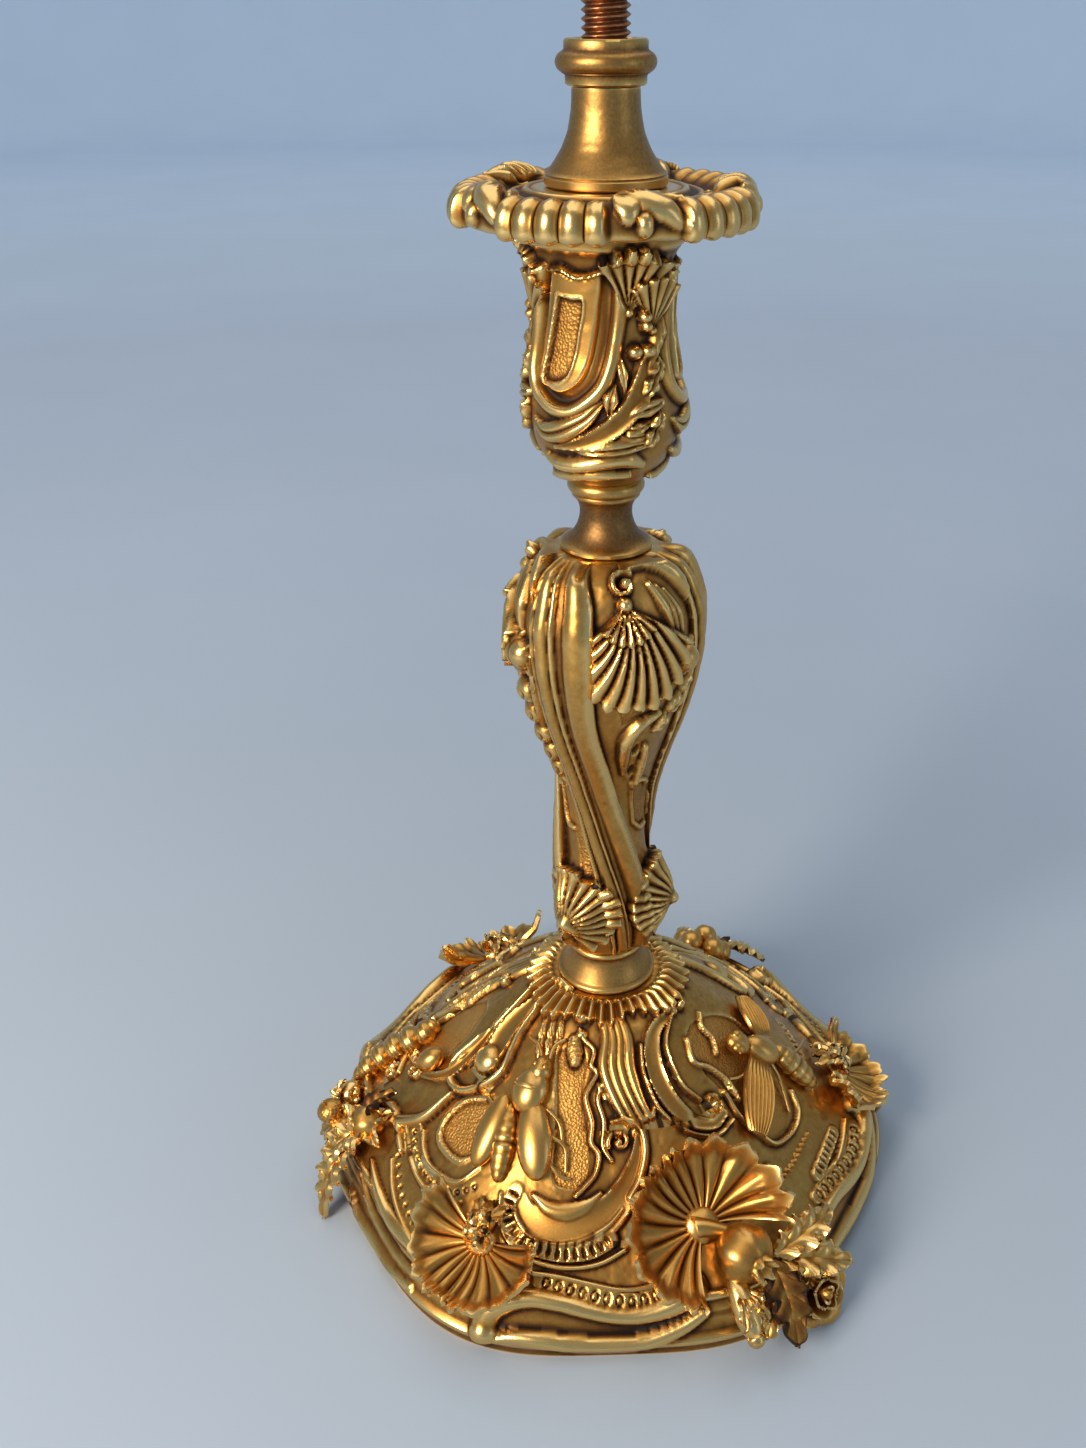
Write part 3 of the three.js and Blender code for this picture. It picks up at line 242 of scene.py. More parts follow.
def around(points):        # each point's angle about the stem and its distance from it
    return np.arctan2(points[:, 1], points[:, 0]), np.hypot(points[:, 0], points[:, 1])


# relief: forms raised on or sunk in a surface, in mm along its normals
def newRelief(points, normals):
    return {"points": points, "normals": normals, "height": np.zeros(len(points)),
            "matt": np.zeros(len(points))}


def nearLine(relief, line, reach):        # points near a line: index, place across and along it
    points = relief["points"]
    low = line.min(0) - reach
    high = line.max(0) + reach
    index = np.nonzero(np.all((points > low) & (points < high), axis=1))[0]
    if not len(index):
        return index, None, None
    p = points[index]
    n = relief["normals"][index]
    best = np.full(len(index), 1e9)
    across = np.zeros(len(index))
    along = np.zeros(len(index))
    lengths = np.linalg.norm(np.diff(line, axis=0), axis=1)
    done = np.concatenate([[0], np.cumsum(lengths)])
    for i in range(len(line) - 1):
        a = line[i]
        way = (line[i + 1] - a) / max(lengths[i], 1e-9)
        part = np.clip((p - a) @ way, 0, lengths[i])
        off = p - a - part[:, None] * way
        gap = np.einsum("ij,ij->i", off, off)
        closer = gap < best
        best[closer] = gap[closer]
        side = np.einsum("ij,ij->i", np.cross(way, off[closer]), n[closer])
        across[closer] = np.sign(side) * np.sqrt(gap[closer])
        along[closer] = (done[i] + part[closer]) / done[-1]
    keep = np.abs(across) < reach
    return index[keep], across[keep], along[keep]


def shareOf(values, along):        # a value, or a list of values spread evenly along a line
    if np.isscalar(values):
        return np.full(len(along), float(values))
    return np.interp(along, np.linspace(0, 1, len(values)), values)


crossSections = {        # height across a stroke, for x from -1 to 1
    "roll": lambda x: np.clip(1 - x * x, 0, 1) ** 0.66,
    "ridge": lambda x: np.clip(1 - np.abs(x), 0, 1) ** 0.75,
    "flat": lambda x: np.ones_like(x),
    "dish": lambda x: 0.42 + 0.58 * np.abs(x) ** 2.6,
}
thinnest = 0.85        # mm, the smallest half width of a stroke that still shows


def stroke(relief, line, width, height, shape="roll", base=0.0, edge=0.5):
    # width is half the stroke's; the round shapes only add, the others replace what they cross
    width = np.maximum(np.asarray(width, float), thinnest)
    widest = float(np.max(width))
    index, across, along = nearLine(relief, line, widest)
    if not len(index):
        return
    half = shareOf(width, along)
    x = across / half
    inside = np.abs(x) < 1
    index, x, half, along = index[inside], x[inside], half[inside], along[inside]
    target = base + crossSections[shape](x) * shareOf(height, along)
    old = relief["height"][index]
    if shape in ("roll", "ridge") and np.min(height) >= 0:
        relief["height"][index] = np.maximum(old, target)
    else:
        mask = smoothStep((1 - np.abs(x)) * half / edge)
        relief["height"][index] = old + (target - old) * mask


def groove(relief, line, width, depth):        # a cut with round edges, into whatever is there
    index, across, along = nearLine(relief, line, float(np.max(width)))
    if len(index):
        x = np.clip(across / np.maximum(shareOf(width, along), 0.05), -1, 1)
        relief["height"][index] -= shareOf(depth, along) * (1 - x * x) ** 1.3


def beadsAlong(relief, line, pitch, size, height):        # size: (half along, half across)
    lengths = np.concatenate([[0], np.cumsum(np.linalg.norm(np.diff(line, axis=0), axis=1))])
    count = max(1, int(round(lengths[-1] / pitch)))
    for k in range(count):
        at = (k + 0.5) / count * lengths[-1]
        place = np.array([np.interp(at, lengths, line[:, i]) for i in range(3)])
        ahead = np.array([np.interp(min(at + 0.4, lengths[-1]), lengths, line[:, i]) for i in range(3)])
        behind = np.array([np.interp(max(at - 0.4, 0), lengths, line[:, i]) for i in range(3)])
        way = ahead - behind
        bead(relief, place, way / max(np.linalg.norm(way), 1e-9), size, height)


def bead(relief, place, way, size, height):        # a round boss, or a pit where height is negative
    reach = max(size) * 1.05
    points = relief["points"]
    index = np.nonzero(np.all(np.abs(points - place) < reach, axis=1))[0]
    if not len(index):
        return
    off = points[index] - place
    n = relief["normals"][index]
    sideWay = np.cross(n, way)
    x = off @ way / size[0]
    y = np.einsum("ij,ij->i", off, sideWay) / size[1]
    rise = np.clip(1 - x * x - y * y, 0, 1) ** 0.5
    if height >= 0:
        base = relief["height"][index]
        relief["height"][index] = np.maximum(base, base * (1 - np.minimum(rise * 3, 1)) + rise * height)
    else:
        relief["height"][index] += rise * height


def inOutline(relief, outline, thick=12):        # which points lie inside a closed line, and how far in
    centre = outline.mean(0)
    points = relief["points"]
    size = np.abs(outline - centre).max()
    index = np.nonzero(np.all(np.abs(points - centre) < size, axis=1))[0]
    if not len(index):
        return index, np.zeros(0)
    normal = relief["normals"][index[np.argmin(np.linalg.norm(points[index] - centre, axis=1))]]
    across = np.cross(normal, (0.0, 0.0, 1.0))
    across /= max(np.linalg.norm(across), 1e-9)
    upward = np.cross(normal, across)
    p = points[index] - centre
    keep = np.abs(p @ normal) < thick
    index, p = index[keep], p[keep]
    px, py = p @ across, p @ upward
    ox, oy = (outline - centre) @ across, (outline - centre) @ upward
    inside = np.zeros(len(index), bool)
    gap = np.full(len(index), 1e9)
    for i in range(len(ox)):
        ax, ay, bx, by = ox[i - 1], oy[i - 1], ox[i], oy[i]
        crosses = (ay > py) != (by > py)
        with np.errstate(divide="ignore", invalid="ignore"):
            at = (bx - ax) * (py - ay) / (by - ay) + ax
        inside ^= crosses & (px < at)
        long2 = max((bx - ax) ** 2 + (by - ay) ** 2, 1e-9)
        t = np.clip(((px - ax) * (bx - ax) + (py - ay) * (by - ay)) / long2, 0, 1)
        gap = np.minimum(gap, np.hypot(px - ax - t * (bx - ax), py - ay - t * (by - ay)))
    return index[inside], gap[inside]


def patch(relief, outline, level, matt=1.0, edge=0.5, dome=0.0):        # an area set at one level
    index, gap = inOutline(relief, outline)
    if not len(index):
        return
    mask = smoothStep(gap / edge)
    old = relief["height"][index]
    target = level + dome * (1 - np.exp(-gap / 2.5))
    relief["height"][index] = old + (target - old) * mask
    relief["matt"][index] = np.maximum(relief["matt"][index], mask * matt)


def fan(relief, root, way, radius, span, ribs, height, dish=0.5, rim=0.08, start=0.12,
        narrow=1.0, bend=0.0, fluteDeep=0.24):
    # a shell of flutes round a root; span is half its angle in degrees
    points = relief["points"]
    index = np.nonzero(np.all(np.abs(points - root) < radius * 1.15, axis=1))[0]
    if not len(index):
        return
    normal = relief["normals"][index[np.argmin(np.linalg.norm(points[index] - root, axis=1))]]
    index = index[relief["normals"][index] @ normal > 0.25]
    way = way - normal * (way @ normal)
    way /= np.linalg.norm(way)
    sideWay = np.cross(normal, way)
    off = points[index] - root
    x, y = off @ way, off @ sideWay / narrow
    r = np.hypot(x, y)
    angle = np.degrees(np.arctan2(y, x))
    turnShare = angle / span
    wave = 2 * np.abs(np.cos((turnShare + bend * r / radius) * ribs * math.pi / 2)) ** 0.8 - 1
    edgeAt = radius * (1 - 0.1 * turnShare ** 2 + rim * 0.5 * (1 + wave))
    out = r / edgeAt
    inside = (out < 1) & (np.abs(turnShare) < 1)
    fade = smoothStep((1 - out) * radius / 0.6) * smoothStep((1 - np.abs(turnShare)) * span / 6)
    flute = fluteDeep * np.minimum(out * 2.2, 1) * wave
    target = (0.3 + 0.7 * out ** (1 + dish) + flute) * height
    old = relief["height"][index]
    new = old + (target - old) * fade
    relief["height"][index] = np.where(inside, new, old)
    bead(relief, root, way, (radius * start, radius * start * 0.8), height * 0.75)


leafForm = {"lobeDeep": 0.34, "edgeFall": 0.55, "midribDeep": 0.32, "midribHalf": 0.45,
        "veinDeep": 0.13}


def leafOn(relief, line, width, height, lobes=5, veins=True):
    # a leaf with lobed edges, a sunk midrib and veins that run to the lobes
    index, across, along = nearLine(relief, line, float(np.max(width)) * 1.25)
    if not len(index):
        return
    half = shareOf(width, along)
    saw = (along * lobes) % 1.0
    lobe = 1 - leafForm["lobeDeep"] * (1 - np.sin(np.clip(saw, 0, 1) * math.pi) ** 0.7)
    x = across / np.maximum(half * lobe, 0.05)
    inside = np.abs(x) < 1
    index, x, along, half, saw = index[inside], x[inside], along[inside], half[inside], saw[inside]
    body = (1 - leafForm["edgeFall"] * np.abs(x) ** 2.2) * (0.55 + 0.45 * np.sin(saw * math.pi))
    body -= leafForm["midribDeep"] * np.exp(-(x * half / leafForm["midribHalf"]) ** 2)
    if veins:
        wave = np.cos((along * lobes * 2 + np.abs(x) * 0.8) * turn)
        body += leafForm["veinDeep"] * wave * np.minimum(np.abs(x) * 2, 1)
    target = shareOf(height, along) * body
    mask = smoothStep((1 - np.abs(x)) * half / 0.45)
    old = relief["height"][index]
    relief["height"][index] = np.maximum(old, old + (target - old) * mask)


def curl(relief, centre, radius, startAngle, turns, width, height, hand=1, ball=0.34):
    # a volute: a roll that winds in to a ball
    points = relief["points"]
    normal = relief["normals"][np.argmin(np.linalg.norm(points - centre, axis=1))]
    sideWay = np.cross((0.0, 0.0, 1.0), normal)
    sideWay /= max(np.linalg.norm(sideWay), 1e-9)
    upward = np.cross(normal, sideWay)
    t = np.linspace(0, 1, 40)
    a = math.radians(startAngle) + hand * t * turns * turn
    r = radius * (1 - t) ** 0.8 + 0.02
    line = centre + (np.cos(a) * r)[:, None] * sideWay + (np.sin(a) * r)[:, None] * upward
    stroke(relief, line, [width, width * 0.75, width * 0.5], [height * 0.75, height * 0.9, height])
    bead(relief, centre, sideWay, (radius * ball, radius * ball), height * 1.25)


# materials
def linear(hexColour):        # sRGB hex to linear RGBA
    values = [int(hexColour[i:i + 2], 16) / 255 for i in (1, 3, 5)]
    return tuple(v / 12.92 if v <= 0.04045 else ((v + 0.055) / 1.055) ** 2.4 for v in values) + (1.0,)


def addNode(material, kind, settings=(), links=()):        # one node, its settings and what feeds it
    made = material.node_tree.nodes.new(kind)
    for key, value in dict(settings).items():
        if isinstance(key, str) and hasattr(made, key) and key not in made.inputs:
            setattr(made, key, value)
        else:
            made.inputs[key].default_value = value
    for socket, source in dict(links).items():
        material.node_tree.links.new(source, made.inputs[socket])
    return made


def newMaterial(name):
    material = bpy.data.materials.new(name)
    material.use_nodes = True
    material.node_tree.nodes.clear()
    return material


def endMaterial(material, shader):
    out = addNode(material, "ShaderNodeOutputMaterial")
    material.node_tree.links.new(shader.outputs[0], out.inputs["Surface"])
    return material


def setRamp(ramp, stops):
    band = ramp.color_ramp
    while len(band.elements) < len(stops):
        band.elements.new(0.5)
    for element, (place, colour) in zip(band.elements, stops):
        element.position = place
        element.color = linear(colour)
    band.interpolation = "LINEAR"


def metalMaterial(name, s):
    # s has the finish's own values; the attribute "hollow" is 0 on ridges and 1 in recesses
    m = newMaterial(name)
    place = addNode(m, "ShaderNodeTexCoord")
    where = place.outputs["Object"]
    hollow = addNode(m, "ShaderNodeAttribute", {"attribute_name": "hollow"})
    matt = addNode(m, "ShaderNodeAttribute", {"attribute_name": "matt"})
    clouds = addNode(m, "ShaderNodeTexNoise", {"Scale": 1 / (s["cloudSize"] * mm), "Detail": 5.0,
                                               "Roughness": 0.62}, {"Vector": where})
    specks = addNode(m, "ShaderNodeTexNoise", {"Scale": 1 / (s["speckSize"] * mm), "Detail": 3.0,
                                               "Roughness": 0.6}, {"Vector": where})
    # the recesses darken to brown, partly real wax and dirt and partly painted shade, and clouds of
    # tarnish shift where the brown ends
    shift = addNode(m, "ShaderNodeMath", {"operation": "MULTIPLY_ADD", 1: s["cloudShift"],
                                          2: -s["cloudShift"] / 2}, {0: clouds.outputs["Fac"]})
    level = addNode(m, "ShaderNodeMath", {"operation": "ADD"},
            {0: hollow.outputs["Fac"], 1: shift.outputs[0]})
    speckShift = addNode(m, "ShaderNodeMath", {"operation": "MULTIPLY_ADD", 1: s["speckShift"],
                                               2: -s["speckShift"] / 2}, {0: specks.outputs["Fac"]})
    level2 = addNode(m, "ShaderNodeMath", {"operation": "ADD"},
            {0: level.outputs[0], 1: speckShift.outputs[0]})
    colours = addNode(m, "ShaderNodeValToRGB", (), {"Fac": level2.outputs[0]})
    setRamp(colours, s["colours"])
    rough = addNode(m, "ShaderNodeMapRange", {"From Min": 0.2, "From Max": 0.85,
                                              "To Min": s["rough"][0], "To Max": s["rough"][1]},
                    {"Value": level2.outputs[0]})
    mattRough = addNode(m, "ShaderNodeMath", {"operation": "MULTIPLY_ADD", 1: 0.16},
            {0: matt.outputs["Fac"], 2: rough.outputs[0]})
    metallic = addNode(m, "ShaderNodeMapRange", {"From Min": 0.55, "From Max": 1.0, "To Min": 1.0,
                                                 "To Max": s["recessMetal"]},
                       {"Value": level2.outputs[0]})
    # the cast skin: fine grain all over, punched dots where the piece is matted
    grain = addNode(m, "ShaderNodeTexNoise", {"Scale": 1 / (s["grainSize"] * mm), "Detail": 4.0},
            {"Vector": where})
    dots = addNode(m, "ShaderNodeTexVoronoi", {"Scale": 1 / (s["dotSize"] * mm), "feature": "F1"},
            {"Vector": where})
    dotHeight = addNode(m, "ShaderNodeMath", {"operation": "MULTIPLY"},
            {0: dots.outputs["Distance"], 1: matt.outputs["Fac"]})
    skin = addNode(m, "ShaderNodeBump", {"Strength": s["grain"], "Distance": 0.05 * mm},
            {"Height": grain.outputs["Fac"]})
    punched = addNode(m, "ShaderNodeBump", {"Strength": 0.75, "Distance": 0.35 * mm},
            {"Height": dotHeight.outputs[0], "Normal": skin.outputs[0]})
    shader = addNode(m, "ShaderNodeBsdfPrincipled", {"Specular IOR Level": 0.5},
                     {"Base Color": colours.outputs["Color"], "Roughness": mattRough.outputs[0],
                      "Metallic": metallic.outputs[0], "Normal": punched.outputs[0]})
    return endMaterial(m, shader)


# gilt bronze, cast, chased and mercury gilt, then rubbed for a century: rich gold on the high spots,
# brown wax and dirt in the recesses, deepened there with painted shade
giltBronze = metalMaterial("giltBronze", {
    "colours": [(0.14, "#e6bf78"), (0.34, "#c4934a"), (0.50, "#9a6c33"), (0.68, "#5c3b1a"),
        (0.88, "#26160a")],
    "rough": (0.26, 0.58), "recessMetal": 0.55, "cloudSize": 9.0, "cloudShift": 0.22,
    "speckSize": 0.9, "speckShift": 0.14, "grainSize": 0.5, "grain": 0.5, "dotSize": 0.75})
# turned brass, lathe finished and tarnished: olive gold with small dark pits
turnedBrass = metalMaterial("turnedBrass", {
    "colours": [(0.12, "#d6b068"), (0.40, "#b08648"), (0.58, "#86643a"), (0.76, "#4a341b"),
        (0.93, "#1d140b")],
    "rough": (0.30, 0.55), "recessMetal": 0.6, "cloudSize": 14.0, "cloudShift": 0.26,
    "speckSize": 0.7, "speckShift": 0.34, "grainSize": 0.35, "grain": 0.5, "dotSize": 0.8})
# the rod: plain brass gone a coppery brown, oily in the thread, the thread's hollows darkened with
# painted shade
rodBrass = metalMaterial("rodBrass", {
    "colours": [(0.15, "#b98a62"), (0.42, "#8a5b3c"), (0.62, "#53321f"), (0.85, "#1c0f08")],
    "rough": (0.34, 0.6), "recessMetal": 0.5, "cloudSize": 5.0, "cloudShift": 0.2,
    "speckSize": 0.6, "speckShift": 0.2, "grainSize": 0.3, "grain": 0.4, "dotSize": 0.8})
# plated steel nuts and washer: dull grey with a yellow cast
platedSteel = metalMaterial("platedSteel", {
    "colours": [(0.15, "#b9b4a6"), (0.45, "#948f84"), (0.65, "#6b665c"), (0.88, "#3a362f")],
    "rough": (0.36, 0.55), "recessMetal": 0.8, "cloudSize": 6.0, "cloudShift": 0.3,
    "speckSize": 0.5, "speckShift": 0.2, "grainSize": 0.3, "grain": 0.35, "dotSize": 0.8})


hollowForm = {"keep": 0.4, "spread": 0.6, "fineShare": 0.7, "strength": 0.7, "rounds": (3, 40),
        "seamRows": 6}


def readValues(mesh, name):
    values = np.empty(len(mesh.vertices))
    mesh.attributes[name].data.foreach_get("value", values)
    return values


def writeValues(mesh, name, values):
    mesh.attributes.new(name, "FLOAT", "POINT").data.foreach_set("value", values)


def markHollows(piece, reach, gain, level):
    # writes the attribute "hollow": 0 on ridges, near 0.5 on plain faces, 1 in recesses
    h = hollowForm
    mesh = piece.data
    count = len(mesh.vertices)
    p = getPoints(piece)
    normals = np.empty(count * 3)
    mesh.vertex_normals.foreach_get("vector", normals)
    normals = normals.reshape(-1, 3)
    edges = np.empty(len(mesh.edges) * 2, int)
    mesh.edges.foreach_get("vertices", edges)
    edges = edges.reshape(-1, 2)
    if "carved" in mesh.attributes:        # the plain inner wall has no say in the carved face
        carved = readValues(mesh, "carved")
        edges = edges[carved[edges[:, 0]] == carved[edges[:, 1]]]
    a, b = edges.T
    length2 = np.median(np.sum((p[a] - p[b]) ** 2, axis=1))
    degree = np.maximum(np.bincount(a, minlength=count) + np.bincount(b, minlength=count), 1)[:, None]
    smooth = p.copy()
    total = np.zeros(count)
    rounds = int(np.clip((reach * 1.5) ** 2 / length2, *h["rounds"]))
    for i in range(rounds):
        near = np.empty_like(smooth)
        for k in range(3):
            near[:, k] = (np.bincount(a, smooth[b, k], minlength=count)
                          + np.bincount(b, smooth[a, k], minlength=count))
        smooth = h["keep"] * smooth + h["spread"] * near / degree
        if i == rounds // 4:
            total += h["fineShare"] * np.einsum("ij,ij->i", smooth - p, normals)
    total += np.einsum("ij,ij->i", smooth - p, normals)
    # the rows along a joint line take the value of the rows beyond them
    if "seam" in mesh.attributes:
        seam = readValues(mesh, "seam")
        both = np.vstack([edges, edges[:, ::-1]])
        for near in reversed(range(h["seamRows"])):
            take = both[(seam[both[:, 0]] == near) & (seam[both[:, 1]] == near + 1)]
            shares = np.bincount(take[:, 0], minlength=count)
            total = np.where(shares > 0, np.bincount(take[:, 0], total[take[:, 1]], minlength=count)
                             / np.maximum(shares, 1), total)
    # the materials darken colour by this value: brown wax and dirt in the recesses, and painted shade
    # there too
    writeValues(mesh, "hollow", np.clip(level + total / reach * h["strength"] * gain, 0, 1))
    if "matt" not in mesh.attributes:
        mesh.attributes.new("matt", "FLOAT", "POINT")


def finishPiece(piece, material, slot, nodes=(), body="stand", reach=1.0, angle=50, gain=1.0,
        level=0.42):
    settle(piece)
    piece.data.materials.clear()
    piece.data.materials.append(material)
    pick(piece)
    bpy.ops.object.shade_smooth_by_angle(angle=math.radians(angle))
    markHollows(piece, reach, gain, level)
    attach(piece, body)
    if nodes:
        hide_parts(*nodes)
    print(piece.name, len(piece.data.polygons), "faces")
    return piece


print("materials made")


# a grid bent round into a closed ring of a given cross-section
def ringGrid(name, columns, rows):        # the grid and each vertex's place round and along the section
    deselectAll()
    bpy.ops.mesh.primitive_grid_add(x_subdivisions=columns, y_subdivisions=rows, size=2)
    piece = bpy.context.active_object
    piece.name = name
    piece.data.name = name
    flat = getPoints(piece) * mm
    angle = np.round((flat[:, 0] + 1) / 2 * columns) / columns * turn
    row = np.round((flat[:, 1] + 1) / 2 * rows).astype(int)
    return piece, angle, row


def normalsOf(surface, angle, along, stepAngle, stepAlong):
    # where "along" runs outwards and down, as on the dome, stepAlong is negative
    va = surface(angle + stepAngle, along) - surface(angle - stepAngle, along)
    vs = surface(angle, along + stepAlong) - surface(angle, along - stepAlong)
    n = np.cross(va, vs)
    return n / np.maximum(np.linalg.norm(n, axis=1), 1e-9)[:, None]


def carvePiece(piece, points, normals, carved, dress, node, low, high=1000.0, marked=None, seam=None,
        **finish):
    # dress raises the relief on the carved points; low and high are the piece's ends in mm
    face = carved > 0
    relief = newRelief(points[face], normals[face])
    dress(relief)
    points[face] += relief["normals"] * (relief["height"] * carved[face])[:, None]
    points[:, 2] = np.clip(points[:, 2], low, high)
    setPoints(piece, points)
    matt = np.zeros(len(points))
    matt[face] = relief["matt"]
    writeValues(piece.data, "matt", matt)
    writeValues(piece.data, "carved", ((carved if marked is None else marked) > 0).astype(float))
    if seam is not None:
        writeValues(piece.data, "seam", seam.astype(float))
    closeSeams(piece)
    finishPiece(piece, giltBronze, "gilt_bronze", [node], angle=60, **finish)


# the domed base
base = {
    "height": 71.0, "outline": 88.2, "wave": 2.3, "waveAt": -58.0, "waves": 6,
    "profile": [(0, 1), (.192, 1), (.26, .945), (.36, .848), (.48, .725), (.6, .592), (.72, .458),
        (.82, .352),
                (.9, .268), (.94, .235), (.97, .16), (1, .06)],
    "wallEnd": 1.05, "wall": 3.0, "foot": 4.2, "footHeight": 3.0,
    # share, half width, height
    "mouldings": [(.945, 1.5, 1.5), (1.0, 1.9, 1.4), (.972, 1.0, 0.0, "flat", -0.4)],
    "swell": (0.5, 0.4), "skin": [(0.12, 3.0, 1), (0.06, 1.2, 2)],        # skin: height, size, seed
    "ruffRoot": 16.5, "ruffRadius": 23.6, "ruffFlutes": 42, "ruffDeep": 1.2,
    # the three rings that it is carved in: from and to share, columns, rows
    "rings": {"base_crown": (6.4 / 88.2, 0.54, 720, 112), "base_slope": (0.54, 0.80, 1060, 72),
              "base_skirt": (0.80, 1.0, 1080, 62)},
}
baseProfile = hermite(base["profile"])


def baseWave(angle):        # the soft corners of the base
    return np.cos(base["waves"] * (angle - math.radians(base["waveAt"])))


def baseOutline(angle):
    return base["outline"] + base["wave"] * baseWave(angle)


def domeHeight(share):
    edge = base["height"] * base["profile"][-1][1]
    low = edge * np.clip(1 - (share - 1) / (base["wallEnd"] - 1), -0.2, 1)
    return np.where(share <= 1, base["height"] * baseProfile(np.minimum(share, 1)), low)


def domePoint(angle, share):
    r = np.minimum(share, 1) * baseOutline(angle)
    return np.stack([r * np.cos(angle), r * np.sin(angle), domeHeight(share)], axis=1)


def domeNormals(angle, share):
    return normalsOf(domePoint, angle, np.clip(share, 0.002, 0.998), 0.002, -0.0008)


def domeLevel(points):        # how far points are above the plain dome, negative inside it
    r = np.hypot(points[:, 0], points[:, 1])
    share = r / baseOutline(np.arctan2(points[:, 1], points[:, 0]))
    height = np.where(share < 1, base["height"] * baseProfile(np.minimum(share, 1)),
                      base["height"] * base["profile"][-1][1] - (share - 1) * 900)
    return points[:, 2] - np.maximum(height, 0)


def domeSpot(share, degrees):        # one place on the dome
    return domePoint(np.array([math.radians(degrees)]), np.array([share]))[0]


def domeFrame(share, degrees):        # place and axes: x sideways anticlockwise, y uphill, z outward
    a = np.array([math.radians(degrees)])
    s = np.array([float(share)])
    place = domePoint(a, s)[0]
    out = domeNormals(a, s)[0]
    side = np.array([-math.sin(a[0]), math.cos(a[0]), 0])
    uphill = np.cross(out, side)
    uphill /= np.linalg.norm(uphill)
    side = np.cross(uphill, out)
    return place, side, uphill, out


def ringLine(share, fromDegrees, toDegrees, steps=40):        # a line round the dome at one share
    a = np.radians(np.linspace(fromDegrees, toDegrees, steps))
    return domePoint(a, np.full(steps, float(share)))


def closed(line):
    return np.vstack([line, line[:1]])


# the ornament of the dome, each line given by the pixels where the photograph shows it
def leftFrontScrolls(r, k):        # the panel left of the beetle
    at = lineMaker(domeLevel, 0.8, k)
    field = at([(494, 1098), (466, 1100), (444, 1121), (440, 1142), (457, 1161), (478, 1155),
            (500, 1130)])
    patch(r, field, -0.5, 1.0)
    stroke(r, closed(field), 1.3, 0.75)
    bandOut = at([(408, 1128), (410, 1145), (412, 1159), (419, 1178), (430, 1193), (444, 1201),
            (462, 1203)])
    bandIn = at([(425, 1132), (425, 1150), (430, 1164), (443, 1176), (460, 1182), (482, 1167)])
    band = at([(416, 1128), (417, 1145), (420, 1160), (429, 1177), (441, 1188), (458, 1193),
            (480, 1186)])
    stroke(r, band, 3.1, 0.8, "flat")
    stroke(r, bandOut, 0.7, 1.5)
    stroke(r, bandIn, 0.6, 1.35)
    beadsAlong(r, band, 2.9, (1.0, 1.0), -0.9)
    beadsAlong(r, band, 2.9, (0.55, 0.55), 0.9)
    outer = at([(398, 1150), (400, 1185), (410, 1215), (427, 1242)])
    beadsAlong(r, outer, 3.4, (0.75, 1.1), -0.9)
    stroke(r, at([(392, 1160), (393, 1190), (402, 1222), (418, 1248)]), 0.7, 0.9)
    # the large C-scroll with its ball, running down from the ruff
    stroke(r, at([(541, 996), (527, 1012), (510, 1032), (499, 1050), (489, 1062)]),
           [1.6, 3.6, 4.4, 3.6], [1.2, 2.2, 2.6, 2.2],
           "dish", 0.2, 0.7)
    stroke(r, at([(533, 992), (514, 1012), (496, 1030), (474, 1046), (459, 1060), (452, 1078),
                  (462, 1091), (484, 1087), (504, 1073), (514, 1052), (524, 1032), (540, 1010)]),
           [0.9, 1.3, 1.5, 1.6, 1.3, 0.8], 2.6)
    bead(r, spot(at, 489, 1060), sideways, (4.2, 4.0), 3.6)
    stroke(r, at([(546, 988), (558, 984), (570, 990)]), [1.4, 2.2, 1.5], [1.5, 2.4, 1.6])
    bead(r, spot(at, 582, 1012), sideways, (3.1, 3.7), 2.6)
    bead(r, spot(at, 582, 1035), sideways, (1.8, 1.6), 1.8)
    knob = at([(575, 1041), (575, 1062)])
    stroke(r, knob, [2.2, 2.6, 1.8], 2.0)
    beadsAlong(r, knob, 1.5, (0.45, 2.4), 2.5)


